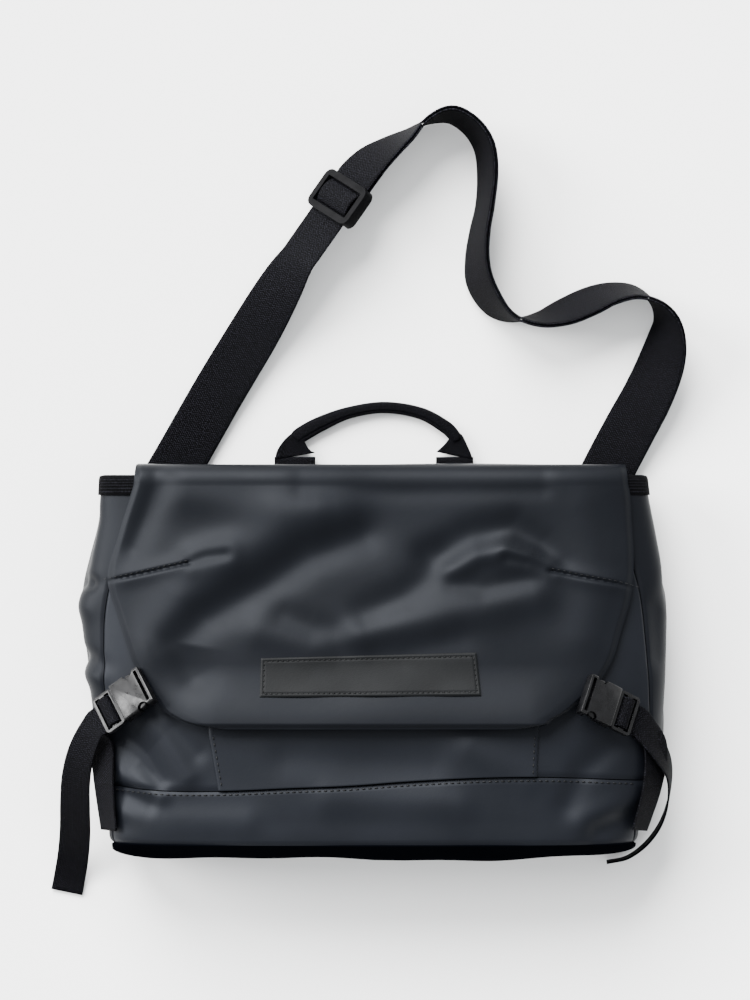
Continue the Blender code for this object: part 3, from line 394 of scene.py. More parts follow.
def woven_webbing(name="nylon_webbing", share=1.0, rib=1.9, column=2.4):
    # Nylon webbing, woven in a herringbone: rows of thread lean one way and then the
    # other in columns, with a painted highlight on each thread's crown and painted shade
    # between the threads. The threads are drawn about twice as coarse as real ones, so that they show.
    colour = shaded(colours().webbing, share)
    material, tree, shader = new_material(name, 0.7, 1.5, Specular_IOR_Level=0.02)
    cloth = add_node(tree, "UVMap", uv_map="Weave").outputs["UV"]
    parts = add_node(tree, "SeparateXYZ", {"Vector": cloth}).outputs
    lean = worked(tree, "PINGPONG", parts["X"], column * MM)
    crown = threads(tree, worked(tree, "ADD", parts["Y"], lean), rib)
    warp = threads(tree, parts["X"], column / 2)
    height = ranged(tree, worked(tree, "ADD", crown, warp), -2.0, 2.0)
    # Painted highlight on the thread crowns and painted shade in the grooves, from the threads' height.
    painted_crown_light = worked(tree, "MULTIPLY", height, noise(tree, cloth, 1.3, 3.0))
    paint(tree, shader, painted_crown_light, shaded(colour, 0.2), shaded(colour, 14.0), 0.26, 0.6)
    emboss(tree, shader, height, 0.7, 0.4)
    return material


def label_leather():
    # Split leather with a pressed, finished face: a fine pebble, a warm dark grey and a
    # slightly polished, uneven surface.
    colour = colours().leather
    material, tree, shader = new_material("finished_leather", 0.55, 1.46, Specular_IOR_Level=0.08)
    place = on_object(tree)
    pebble = add_node(tree, "TexVoronoi", {"Vector": place, "Scale": per_metre(0.8)}).outputs["Distance"]
    paint(tree, shader, noise(tree, place, 18, 5.0), shaded(colour, 0.85), shaded(colour, 1.2), 0.3, 0.7)
    emboss(tree, shader, pebble, 0.35, 0.15)
    return material


def moulded_acetal(name="moulded_acetal", rough=0.3, shine=0.2):
    # Injection-moulded black acetal: glossy with a faint spark-eroded texture and dull
    # scuffs.
    colour = colours().plastic
    material, tree, shader = new_material(name, rough, 1.48, Specular_IOR_Level=shine)
    place = on_object(tree)
    scuff = noise(tree, place, 6, 6.0)
    paint(tree, shader, scuff, shaded(colour, 0.8), shaded(colour, 1.25), 0.35, 0.65)
    polish = ranged(tree, scuff, 0.35, 0.7, rough - 0.06, rough + 0.1)
    tree.links.new(polish, shader.inputs["Roughness"])
    emboss(tree, shader, noise(tree, place, 0.45), 0.3, 0.05)
    return material


def plain_cloth(name, share=1.0, thread=1.2):
    # Plain-woven polyester cloth: one thread over, one under, matte.
    colour = shaded(colours().lining, share)
    material, tree, shader = new_material(name, 0.8, 1.5, Sheen_Weight=0.05, Specular_IOR_Level=0.1)
    parts = add_node(tree, "SeparateXYZ", {"Vector": on_object(tree)}).outputs
    crossing = worked(tree, "MULTIPLY", threads(tree, parts["X"], thread), threads(tree, parts["Y"], thread))
    height = ranged(tree, crossing, -1.0, 1.0)
    paint(tree, shader, height, shaded(colour, 0.7), shaded(colour, 1.4))
    emboss(tree, shader, height, 0.4, 0.2)
    return material


def extruded_board():
    # Extruded polyethylene sheet: waxy grey with faint drawn lines.
    material, tree, shader = new_material("extruded_polyethylene", 0.5, 1.51)
    stretch = (per_metre(2), per_metre(60), 1.0)
    drawn = add_node(tree, "Mapping", {"Vector": on_object(tree), "Scale": stretch})
    lines = noise(tree, drawn.outputs["Vector"], 1000)
    paint(tree, shader, lines, linear("#8d8f91"), linear("#9d9fa1"))
    emboss(tree, shader, lines, 0.2, 0.1)
    return material


def bonded_thread():
    # Bonded nylon sewing thread: two plies twisted, slightly shiny.
    colour = colours().webbing
    material, tree, shader = new_material("bonded_thread", 0.45, 1.53, Specular_IOR_Level=0.15)
    twist = noise(tree, on_object(tree), 0.5, 1.0)
    paint(tree, shader, twist, shaded(colour, 0.5), shaded(colour, 1.5))
    emboss(tree, shader, twist, 0.4, 0.1)
    return material


def painted_floor():
    # Matt emulsion paint, faintly uneven.
    material, tree, shader = new_material("painted_floor", 0.8)
    mottle = add_node(tree, "TexNoise", {"Vector": on_object(tree), "Scale": 3.0}).outputs["Fac"]
    paint(tree, shader, mottle, shaded(colours().floor, 0.98), tuple(colours().floor))
    return material


MATERIALS = {}
MAKERS = {
    "fabric": coated_fabric,
    # Front pieces: the same fabric with its colour raised by half, painted light that lifts the front out of
    # the shade under the flap.
    "front": lambda: coated_fabric("coated_polyester_front_painted_light", 1.5, 0.14),
    # Bottom panel: the same fabric with its colour halved, painted shade, and with no shine.
    "band": lambda: coated_fabric("coated_polyester_base_painted_shade", 0.5, 0.0),
    "webbing": woven_webbing,
    "binding": lambda: woven_webbing("binding_tape", 0.75, 1.6, 2.0),
    "leather": label_leather,
    "acetal": moulded_acetal,
    "dull_acetal": lambda: moulded_acetal("dull_acetal", 0.42, 0.04),
    "lining": lambda: plain_cloth("lining_polyester"),
    "padding": lambda: plain_cloth("sleeve_polyester", 1.3, 1.6),
    "board": extruded_board,
    "thread": bonded_thread,
}


def finish_of(name):
    """A material by its short name, made the first time it is asked for."""
    if name not in MATERIALS:
        MATERIALS[name] = MAKERS[name]()
    return MATERIALS[name]


# ---- the body's skin ---------------------------------------------------------------
def back_height(y):
    """The back rises off the floor towards the mouth."""
    return BACK_LIFT * ease((y - LIFT_START) / (LIFT_END - LIFT_START))


def skin(y, angle, offset=0.0):
    """Point of the body's rounded section at height y; the angle runs from +X over the front."""
    left, right = profile(LEFT_SIDE, y), profile(RIGHT_SIDE, y)
    low, high = back_height(y), profile(FRONT_HEIGHT, y)
    turn = np.radians(angle)
    front = np.sin(turn) >= 0
    power = np.where(front, FRONT_POWER, BACK_POWER)
    across = np.abs(np.cos(turn)) ** (2 / power) * np.sign(np.cos(turn))
    up = np.abs(np.sin(turn)) ** (2 / power) * np.sign(np.sin(turn))
    up = np.where(front, up, np.maximum(-1.0, up * BACK_FLATTEN))
    x = (left + right) / 2 + ((right - left) / 2 + offset) * across
    z = (low + high) / 2 + ((high - low) / 2 + offset) * up
    return np.stack((x, y, z), axis=-1)


def front_z(x, y, offset=0.0):
    """Height of the body's front above (x, y)."""
    left, right = profile(LEFT_SIDE, y), profile(RIGHT_SIDE, y)
    low, high = back_height(y), profile(FRONT_HEIGHT, y)
    share = np.minimum(0.9995, np.abs(x - (left + right) / 2) / ((right - left) / 2 + offset))
    up = (1 - share ** FRONT_POWER) ** (1 / FRONT_POWER)
    return (low + high) / 2 + ((high - low) / 2 + offset) * up


# Folds of the body: line of (x, y, z) points, height, width, in millimetres.
BODY_FOLDS = (
    # left gusset: the pinch beside the flap's dart and the creases below it
    (((-211, 58, 40), (-200, 57, 62), (-190, 57, 72)), -5.0, 5.0),
    (((-210, 40, 44), (-205, 38, 66)), 2.6, 9.0),
    (((-203, 100, 40), (-206, 70, 45)), -2.5, 10.0),
    (((-208, 5, 40), (-200, 2, 66), (-190, -2, 76)), -3.2, 6.0),
    (((-204, -8, 45), (-196, -12, 70)), 2.4, 7.0),
    # right gusset
    (((208, 60, 35), (203, 40, 55), (205, 5, 60)), -2.5, 10.0),
    (((206, -40, 30), (200, -62, 55)), 2.0, 10.0),
    # front, left of the pocket: folds falling from under the buckle
    (((-168, -35, 80), (-150, -52, 88), (-132, -80, 92)), 4.2, 8.0),
    (((-178, -52, 70), (-163, -66, 82), (-152, -84, 86)), -3.4, 8.0),
    (((-186, -62, 60), (-174, -80, 74), (-150, -92, 86)), 3.0, 7.0),
    (((-140, -45, 90), (-124, -62, 92)), -2.6, 7.0),
    (((-190, -100, 60), (-150, -112, 88), (-90, -112, 94)), 2.0, 11.0),
    (((-180, -92, 74), (-160, -100, 84)), -2.2, 8.0),
    # front, right of the pocket
    (((172, -55, 76), (150, -75, 88), (138, -100, 92)), -2.6, 10.0),
    (((190, -88, 60), (165, -104, 82), (150, -112, 88)), 2.6, 10.0),
    (((182, -108, 70), (160, -118, 84)), -2.4, 8.0),
    # pocket front: a shallow hollow below the flap
    (((-60, -66, 92), (40, -70, 92)), -1.6, 14.0),
    (((-30, -96, 94), (60, -100, 94)), 1.8, 12.0),
    (((70, -60, 92), (110, -80, 92)), 1.6, 12.0),
)


def body_relief(points):
    """How far the cloth stands out of the skin: folds and slow waves, fading where it rests."""
    x, y, z = points.T
    wave = (0.5 * np.sin(x / 31 + y / 47) + 0.4 * np.sin(y / 23 - z / 19)
            + 0.3 * np.sin(x / 17 - y / 29 + 1.3))
    return np.maximum(folds(points, BODY_FOLDS) + wave, -DEEPEST_FOLD) * ease((z - 4) / 12)


def front_seam(y):
    """Angle on the skin of the seam between front and gusset."""
    return 13.0 + 25.0 * np.clip((y - FOOT) / (MOUTH - FOOT), 0, 1)


BACK_SEAM = -22.0               # angles on the skin: back seam, half a seam, bottom's ends
SEAM_GAP = 0.25
BOTTOM_START = 8.0


def edge_drop(u, v, sides, wide, tall, depth=0.9, reach=3.0):
    """A panel rolls down into its seams: by depth, at the left, right, bottom or top named in sides."""
    distances = {"l": u * wide, "r": (1 - u) * wide, "b": v * tall, "t": (1 - v) * tall}
    near = np.minimum.reduce([distances[side] for side in sides])
    return -depth * (1 - ease(near / reach))


def seam_height(u):
    """Height of the seam between front and lower band, at a share of the front's width."""
    angle = 180 - front_seam(BAND_SEAM) + (2 * front_seam(BAND_SEAM) - 180) * u
    return profile(SEAM, skin(BAND_SEAM + 0 * u, angle)[:, 0])


def body_panel(name, start, end, low, high, columns, rows, sides, material, nodes, outward=1, wide=400.0):
    def flat(u, v):
        bottom = low(u) if callable(low) else low
        top = high(u) if callable(high) else high
        y = bottom + (top - bottom) * v
        angle = start(y) + (end(y) - start(y)) * u
        return skin(y, angle)

    tall = (BAND_SEAM if callable(high) else MOUTH) - (BAND_SEAM if callable(low) else FOOT)

    def surface(u, v):
        points = flat(u, v)
        relief = body_relief(points) + edge_drop(u, v, sides, wide, tall)
        return out_from(flat, u, v, relief * outward)

    piece = finish_mesh(name, cloth_grid(surface, columns, rows, (wide * MM, tall * MM)),
                        finish_of(material))
    add_wall(piece, SKIN_THICK, -outward)
    return belongs(piece, "bag_body", "fabric", *nodes)


def left_front(y):
    return 180 - front_seam(y)


def make_front_and_back():
    gap = SEAM_GAP
    body_panel("front_panel_cloth", lambda y: left_front(y) - gap, lambda y: front_seam(y) + gap,
               lambda u: seam_height(u) + 0.4, MOUTH, 230, 130, "lrb", "front", ["front_panel"])
    body_panel("front_band_cloth", lambda y: left_front(y) - gap, lambda y: front_seam(y) + gap,
               FOOT, lambda u: seam_height(u) - 0.3, 230, 30, "lrbt", "front", ["front_band"])
    body_panel("back_cloth", lambda y: 180 - BACK_SEAM + 0.3, lambda y: 360 + BACK_SEAM - 0.3,
               FOOT, MOUTH, 120, 80, "lrb", "fabric", ["back_panel"], -1)


def make_gussets():
    ends = {"right": (lambda y: BACK_SEAM + 0.3, lambda y: front_seam(y) - SEAM_GAP),
            "left": (lambda y: left_front(y) + SEAM_GAP, lambda y: 180 - BACK_SEAM - 0.3)}
    for side, (start, end) in ends.items():
        body_panel("gusset_cloth_" + side, start, end, FOOT, MOUTH, 60, 130, "lrb", "fabric",
                   ["gusset_" + side], -1, 80.0)


def make_bottom():
    def bottom_flat(u, v):
        angle = 180 - BOTTOM_START + (2 * BOTTOM_START - 180) * u
        front = skin(FOOT + 0 * u, angle)
        back = skin(FOOT + 0 * u, -angle)
        point = back + (front - back) * v[:, None]
        full = np.sin(np.radians(angle)) ** 0.5
        point[:, 1] = FOOT - 0.3 - BOTTOM_BULGE * full * np.sin(pi * np.clip(v, 0, 1)) ** 0.7
        return point

    def bottom_surface(u, v):
        points = bottom_flat(u, v)
        slack = 1.2 * np.sin(points[:, 0] / 37) + 0.6 * np.sin(points[:, 0] / 13 + 1)
        points[:, 1] -= slack * np.sin(pi * v)
        return points

    piece = finish_mesh("bottom_cloth", cloth_grid(bottom_surface, 180, 40, (0.37, 0.11)), finish_of("band"))
    add_wall(piece, SKIN_THICK, -1.0)
    belongs(piece, "bag_body", "fabric", "bottom_panel")


# ---- flap --------------------------------------------------------------------------
FLAP_FOLDS = (
    # left: the broad diagonal fold and the valley beside it
    (((-25, 106), (-62, 98), (-100, 74), (-135, 45), (-150, 15)), 4.5, 20.0),
    (((-8, 92), (-45, 78), (-78, 56), (-120, 33), (-140, 15), (-126, -8)), -4.5, 14.0),
    (((-152, 128), (-162, 104), (-172, 84)), -3.2, 11.0),
    (((-132, 118), (-90, 112), (-40, 112)), 2.0, 14.0),
    (((-62, 34), (-42, 24), (-28, 24)), -1.6, 10.0),
    (((-80, 22), (-44, 14), (-10, 16)), 1.8, 12.0),
    # right: the arch above the dart and the fold that sweeps down to the label
    (((40, 78), (70, 92), (100, 97), (118, 84), (128, 70)), -3.2, 11.0),
    (((56, 66), (74, 76), (93, 80), (110, 75), (126, 67)), 3.2, 8.0),
    (((58, 58), (78, 53), (100, 58), (124, 63)), -1.6, 8.0),
    (((115, 48), (80, 40), (40, 30), (-8, 24)), 3.0, 14.0),
    (((50, 72), (22, 48), (-6, 34)), -3.0, 12.0),
    (((60, 20), (20, 8), (-20, 10)), -1.6, 12.0),
    # near the fold over the mouth
    (((-50, 124), (20, 122), (120, 124)), -1.4, 8.0),
    (((150, 110), (160, 60), (150, 20)), 1.6, 16.0),
)
# The darts: a sewn line from the flap's edge inwards, ending in a pucker.
LEFT_DART = ((-192, 57.5), (-160, 64.5), (-130.5, 71.4))
RIGHT_DART = ((190, 52), (173.8, 56.6), (150, 61), (126.4, 65.8))
LEFT_PUCKER = ((-130.5, 71.4), (-118, 75.5), (-104, 77.5))
RIGHT_PUCKER = ((126.4, 65.8), (112, 71.5), (96, 75))


def flap_relief(x, y):
    """Folds, darts and slow waves of the flap, kept above what lies under it."""
    spot = np.stack((x, y), axis=-1)
    wave = 0.6 * np.sin(x / 41 + y / 33) + 0.4 * np.sin(x / 23 - y / 37 + 0.7)
    relief = folds(spot, FLAP_FOLDS) + wave
    for dart, pucker in ((LEFT_DART, LEFT_PUCKER), (RIGHT_DART, RIGHT_PUCKER)):
        hand = 1 if dart is RIGHT_DART else -1
        upper = [(px - hand * 2, py + 6) for px, py in pucker]
        lower = [(px - hand * 2, py - 5.5) for px, py in pucker]
        relief = relief + folds(spot, ((upper, 1.8, 9.0), (lower, 1.2, 9.0), (dart, -2.0, 1.3),
                                       (dart, 1.4, 7.0), (pucker, -1.8, 4.5)))
    return np.maximum(relief, 0.8 - FLAP_RISE)


def flap_place(u, v):
    """Flap middle surface: v runs from the bottom edge up the front, over the fold and down the back."""
    rise = np.clip(v / FRONT_SHARE, 0, 1)
    rise = np.where(rise < 0.5, 0.5 * (rise / 0.5) ** 1.7, rise)
    y = FLAP_FOOT + (FOLD_START - FLAP_FOOT) * rise
    over = np.clip((v - FRONT_SHARE) / (1 - FRONT_SHARE), 0, 1)
    half_left, half_right = profile(FLAP_LEFT, y + 14 * over), profile(FLAP_RIGHT, y + 14 * over)
    spread = np.sin(pi * (u - 0.5))
    x = np.where(spread < 0, -half_left * spread, half_right * spread)
    near_edge = np.minimum((1 - np.abs(spread)) * 170, 1e3)
    z = front_z(x, y, 0.0) + FLAP_RISE
    return x, y, z, over, near_edge


def foot_lift(x, y):
    """The flap's bottom edge stands off the front, most of all in its middle."""
    return FOOT_RISE * (1 - ease((y - FLAP_FOOT) / FOOT_RISE_UP)) * ease((170 - np.abs(x)) / 60)


def flap_surface(u, v):
    x, y, z, over, near_edge = flap_place(u, v)
    relief = flap_relief(x, y) * ease(near_edge / 22 + 0.25)
    roll = -2.2 * (1 - ease((y - FLAP_FOOT) / 4.0)) - 1.6 * (1 - ease(near_edge / 5.0))
    z = z + relief + foot_lift(x, y) + roll
    turn = np.clip(over / OVER_TURN, 0, 1) * pi / 2
    down = np.clip((over - OVER_TURN) / (1 - OVER_TURN), 0, 1)
    y = y + FOLD_DEPTH * np.sin(turn)
    top = z - OVER_DROP * (1 - np.cos(turn))
    z = top + (OVER_FOOT - top) * down
    bulge = 0.8 * np.sin(pi * down) * np.sin(x / 40)
    return np.stack((x, y + bulge, z), axis=-1)


def make_flap():
    builder = cloth_grid(flap_surface, 220, 184, (0.37, 0.25))
    piece = finish_mesh("flap_cloth", builder, [finish_of("fabric"), finish_of("lining")])
    add_wall(piece, 2.2, -1.0, 0.7)
    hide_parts("flap_front", "flap_lining", "flap_top")
    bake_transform(piece)


def flap_top_z(x, y):
    """Height of the flap's outer face above (x, y), for what is sewn on it."""
    return front_z(x, y) + FLAP_RISE + flap_relief(x, y) + foot_lift(x, y)


# ---- stitches ----------------------------------------------------------------------
def stitch_row(name, paths, body, length=2.6, gap=1.0, thick=0.62, slot="webbing"):
    """Rows of stitches along paths of (x, y, z) points and the direction that is up there."""
    builder = bmesh.new()
    for points, up in paths:
        samples = route_samples(points, length + gap)
        for first, second in zip(samples[:-1], samples[1:]):
            run = Vector(second[:3] - first[:3])
            if run.length < 1e-6:
                continue
            middle = Vector(first[:3]) + run * 0.5
            along = run.normalized()
            across = Vector(up).cross(along).normalized()
            rise = along.cross(across)
            turn = Matrix((along, across, rise)).transposed().to_4x4()
            made = bmesh.ops.create_icosphere(builder, subdivisions=1, radius=0.5)
            bmesh.ops.scale(builder, vec=(length, thick, thick * 0.8), verts=made["verts"])
            bmesh.ops.transform(builder, matrix=Matrix.Translation(middle) @ turn, verts=made["verts"])
    bmesh.ops.scale(builder, vec=(MM, MM, MM), verts=builder.verts)
    piece = finish_mesh(name, builder, finish_of("thread"))
    return belongs(piece, body, slot)


def sizes():
    return bpy.context.scene.bag_sizes


def colours():
    return bpy.context.scene.bag_colours


def plain_cad(name, material):
    """A CAD node whose shape stays gets a material of its own."""
    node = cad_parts[name]
    node.data.materials.clear()
    node.data.materials.append(finish_of(material))


def softened(name, node, material, body, slot, width=0.5, segments=3):
    """A moulded piece: the CAD node's shape with its flats joined and its edges rounded."""
    builder = bmesh.new()
    builder.from_mesh(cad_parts[node].data)
    bmesh.ops.remove_doubles(builder, verts=builder.verts, dist=1e-6)
    bmesh.ops.dissolve_limit(builder, angle_limit=radians(1.0), verts=builder.verts, edges=builder.edges)
    bmesh.ops.recalc_face_normals(builder, faces=builder.faces)
    piece = finish_mesh(name, builder, finish_of(material))
    rounding = piece.modifiers.new("rounding", "BEVEL")
    rounding.width = width * MM
    rounding.segments = segments
    rounding.limit_method = "ANGLE"
    rounding.angle_limit = radians(25)
    rounding.use_clamp_overlap = True
    settle(piece)
    return belongs(piece, body, slot, node)


def weave_by_place(piece, across, along):
    """Lay the webbing's weave on a piece by where its corners are, in metres of cloth."""
    places = np.empty(3 * len(piece.data.vertices))
    piece.data.vertices.foreach_get("co", places)
    places = places.reshape(-1, 3)
    corner_of = np.empty(len(piece.data.loops), int)
    piece.data.loops.foreach_get("vertex_index", corner_of)
    cloth = np.column_stack((places @ across, places @ along))[corner_of]
    layer = piece.data.uv_layers.new(name="Weave")
    layer.uv.foreach_set("vector", cloth.astype(np.float32).ravel())


# ---- shoulder strap ----------------------------------------------------------------
# Route: x, y, z in mm, and its turn from flat in degrees.
STRAP_ROUTE = (
    (-159.0, 112.0, 3.5, 0), (-140.0, 144.3, 3.5, 0), (-111.0, 195.0, 5.0, 4), (-85.0, 238.0, 8.5, 12),
    (-65.0, 272.0, 16.5, 31), (-54.5, 289.0, 20.5, 45), (-49.3, 296.4, 20.5, 45),
    (-36.1, 315.2, 20.5, 45), (-23.5, 333.2, 20.5, 45), (-14.3, 346.3, 20.5, 45),
    (-11.7, 350.0, 20.5, 45), (-2.0, 359.5, 20.2, 50), (11.0, 369.0, 20.0, 62), (25.7, 379.0, 20.2, 76),
    (39.5, 389.5, 20.0, 90), (56.9, 393.7, 20.2, 102), (71.4, 385.3, 20.2, 106),
    (80.5, 371.2, 20.2, 108), (83.0, 352.7, 20.2, 108), (81.2, 329.0, 20.2, 106),
    (77.5, 310.0, 20.2, 108), (75.5, 291.0, 20.2, 112), (77.5, 273.5, 20.2, 116),
    (88.0, 256.0, 20.2, 110), (102.0, 247.2, 20.2, 93), (121.5, 246.3, 20.2, 74),
    (138.8, 251.6, 19.2, 61), (157.7, 259.6, 19.0, 59), (174.0, 265.0, 19.6, 67),
    (189.6, 265.4, 20.0, 77), (204.0, 258.0, 20.2, 93), (211.8, 245.0, 19.6, 114),
    (212.2, 230.0, 17.4, 133), (207.8, 212.5, 13.8, 149), (198.5, 190.5, 10.4, 160),
    (187.0, 169.0, 7.2, 168), (173.6, 143.6, 4.8, 175), (166.2, 129.0, 3.8, 180),
)
SLIDER_MIDDLE = np.array((-23.5, 333.2, 20.5))
SLIDER_ALONG = np.array((0.5741, 0.8188, 0.0))
SLIDER_TURN = 45.0
HUMP_HALF, HUMP_ROWS = 8.6, 26
STRAIGHT_AHEAD, PARTING = 18.0, 30.0
LAYER_APART = 2.3
UNDER_SLIDER = 3.0              # depth of the return layer below the through layer at the slider
SLIDER_RUN = 84.0               # run of the return layer from the slider that is made as a piece of its own
STRAP_THICK = 1.6


def turned_across(along, twist):
    """The way across a band that runs along and is turned by twist degrees from flat."""
    left = unit(np.stack((-along[:, 1], along[:, 0], 0 * along[:, 0]), axis=-1))
    turn = np.radians(twist)[:, None]
    return left * np.cos(turn) - np.array((0, 0, 1.0)) * np.sin(turn)


def strap_layer(side):
    """Middles and ways across of the through layer (side +1) or of the return layer (-1)."""
    samples = route_samples(STRAP_ROUTE, 3.0)
    middle = samples[:, :3]
    across, up = directions_on(middle, turned_across(unit(np.gradient(middle, axis=0)), samples[:, 3]))
    ahead = (middle - SLIDER_MIDDLE) @ SLIDER_ALONG
    near = np.linalg.norm(middle - SLIDER_MIDDLE, axis=1) < 60
    number = np.arange(len(middle))
    passed = number >= np.flatnonzero(near & (ahead > 0))[0]
    lift = np.where(near, ease((ahead - STRAIGHT_AHEAD) / PARTING), 1.0)
    if side > 0:
        return middle + up * (LAYER_APART / 2 * lift * passed)[:, None], across
    keep = passed & (~near | (ahead > 2.6))
    shift = UNDER_SLIDER + (LAYER_APART / 2 - UNDER_SLIDER) * lift
    return (middle - up * shift[:, None])[keep], across[keep]


def make_through_layer():
    middle, across = strap_layer(1)
    piece = webbing("shoulder_webbing", middle, across, sizes().strap_width / MM, STRAP_THICK,
                    finish_of("webbing"))
    belongs(piece, "bag_body", "webbing", "shoulder_strap")


def make_return_layer():
    """The layer under the through layer, its first run from the slider made as a piece of its own."""
    width = sizes().strap_width / MM
    middle, across = strap_layer(-1)
    cut = int(np.searchsorted(reach_along(middle), SLIDER_RUN))
    run = webbing("slider_webbing", middle[:cut + 1], across[:cut + 1], width, STRAP_THICK,
                  finish_of("webbing"))
    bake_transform(run)
    piece = webbing("shoulder_webbing_return", middle[cut:], across[cut:], width, STRAP_THICK,
                    finish_of("webbing"))
    belongs(piece, "bag_body", "webbing", "shoulder_strap_return")


def make_slider():
    """The slider, the hump of webbing over its middle bar, and the ring at the strap's far end."""
    sideways = turned_across(SLIDER_ALONG[None, :], np.array([SLIDER_TURN]))[0]
    upward = np.cross(SLIDER_ALONG, sideways)
    ahead = np.linspace(-HUMP_HALF, HUMP_HALF, HUMP_ROWS)
    hump = 1.9 + 2.6 * np.cos(ahead / HUMP_HALF * pi / 2) ** 0.8
    spots = SLIDER_MIDDLE + ahead[:, None] * SLIDER_ALONG + hump[:, None] * upward
    piece = webbing("slider_loop_webbing", spots, np.tile(sideways, (HUMP_ROWS, 1)),
                    sizes().strap_width / MM - 3.0, STRAP_THICK, finish_of("webbing"))
    belongs(piece, "slider", "webbing")
    softened("strap_glide", "strap_slider", "dull_acetal", "slider", "black_plastic", 0.9, 4)
    softened("strap_loop_ring", "strap_ring", "dull_acetal", "bag_body", "black_plastic", 1.0, 4)


def make_strap_ends():
    """The two short webbing tabs on the back that carry the strap."""
    for name, node, low, high in (("ring_webbing", "ring_tab", (159.6, 118.0, 3.8), (145.5, 90.5, 3.8)),
                                  ("anchor_webbing", "strap_anchor_left", (-159.2, 111.6, 3.5),
                                   (-172.4, 89.2, 3.5))):
        middle = np.linspace(low, high, 12)
        along = middle[1] - middle[0]
        across = np.tile(np.array((-along[1], along[0], 0.0)), (12, 1))
        piece = webbing(name, middle, across, sizes().strap_width / MM, STRAP_THICK, finish_of("webbing"))
        belongs(piece, "bag_body", "webbing", node)


# ---- haul handle -------------------------------------------------------------------
# x, y, width, thickness, in mm: the folded grip, and the flat feet it is folded from.
HANDLE_GRIP = (
    (-55.6, 159.6, 10.0, 4.6), (-53.0, 162.4, 11.6, 5.6), (-38.2, 170.8, 11.2, 6.4), (-17.0, 179.2, 8.8, 7.0),
    (8.9, 183.0, 8.4, 7.0), (35.0, 178.7, 8.8, 7.0), (53.4, 168.4, 9.6, 6.6), (60.0, 161.4, 9.0, 5.6),
    (61.4, 158.8, 8.0, 5.0),
)
HANDLE_FEET = {
    "left": ((-56.2, 147.6, 29.6, 1.8), (-56.6, 150.5, 26.5, 1.9), (-56.2, 155.5, 19.5, 2.6),
             (-54.8, 160.5, 12.5, 4.4), (-53.6, 163.0, 8.5, 5.0)),
    "right": ((59.4, 148.0, 27.0, 1.8), (59.9, 150.5, 24.0, 1.9), (60.6, 155.5, 17.0, 2.6),
              (60.9, 160.5, 11.0, 4.4), (60.6, 163.4, 7.5, 5.0)),
}
HANDLE_HEIGHT, FOOT_TOP, FOOT_END = 4.5, 147.2, 100.0
FLAT_THICK, ROLLED_THICK = 2.2, 5.6     # thickness where it is still flat, and where it is rolled
HANDLE_CLOTH = 0.029                    # width of the webbing the handle is folded from, in metres


def rolled(side, high):
    """A flat section's corners, of width and height 1, taken round a roll with a groove along it."""
    round_side = np.sin(side * pi * 0.98) * 0.5
    round_high = np.sign(high) * 0.5 * np.sqrt(np.maximum(0.0, 1 - (2 * np.abs(round_side)) ** 2.4))
    return round_side, round_high - 0.14 * np.exp(-((side + 0.18) / 0.03) ** 2) * (high > 0.2)


def handle_part(name, route, all_rolled):
    """A run of the handle's webbing: flat where it is thin, rolled round itself where it is thick."""
    samples = route_samples([(x, y, HANDLE_HEIGHT, width, thick) for x, y, width, thick in route], 1.5)
    middle, width, thick = samples[:, :3].copy(), samples[:, 3], samples[:, 4]
    middle[:, 2] = np.maximum(HANDLE_HEIGHT, thick / 2 + 0.6)
    across = turned_across(unit(np.gradient(middle, axis=0)), np.zeros(len(middle)))
    share_rolled = ease((thick - FLAT_THICK) / (ROLLED_THICK - FLAT_THICK))
    if all_rolled:
        share_rolled = np.ones(len(middle))

    def shape(row, side, high):
        share = share_rolled[row]
        round_side, round_high = rolled(side, high)
        return ((side * (1 - share) + round_side * share) * width[row],
                (high * (1 - share) + round_high * share) * thick[row])

    section = np.array(band_section(1.0, 1.0, 24))
    return swept(name, middle, across, section, shape, HANDLE_CLOTH, finish_of("webbing"))


def make_handle():
    belongs(handle_part("handle_webbing", HANDLE_GRIP, True), "handle", "webbing", "handle_loop")
    for side, route in HANDLE_FEET.items():
        belongs(handle_part("handle_fold_" + side, route, False), "handle", "webbing")
        x = route[0][0]
        places = np.linspace((x, FOOT_TOP, HANDLE_HEIGHT), (x, FOOT_END, HANDLE_HEIGHT), 24)
        piece = webbing("handle_foot_" + side, places, np.tile((1.0, 0, 0), (24, 1)), route[0][2], 1.6,
                        finish_of("webbing"))
        belongs(piece, "bag_body", "webbing", "handle_end_" + side)


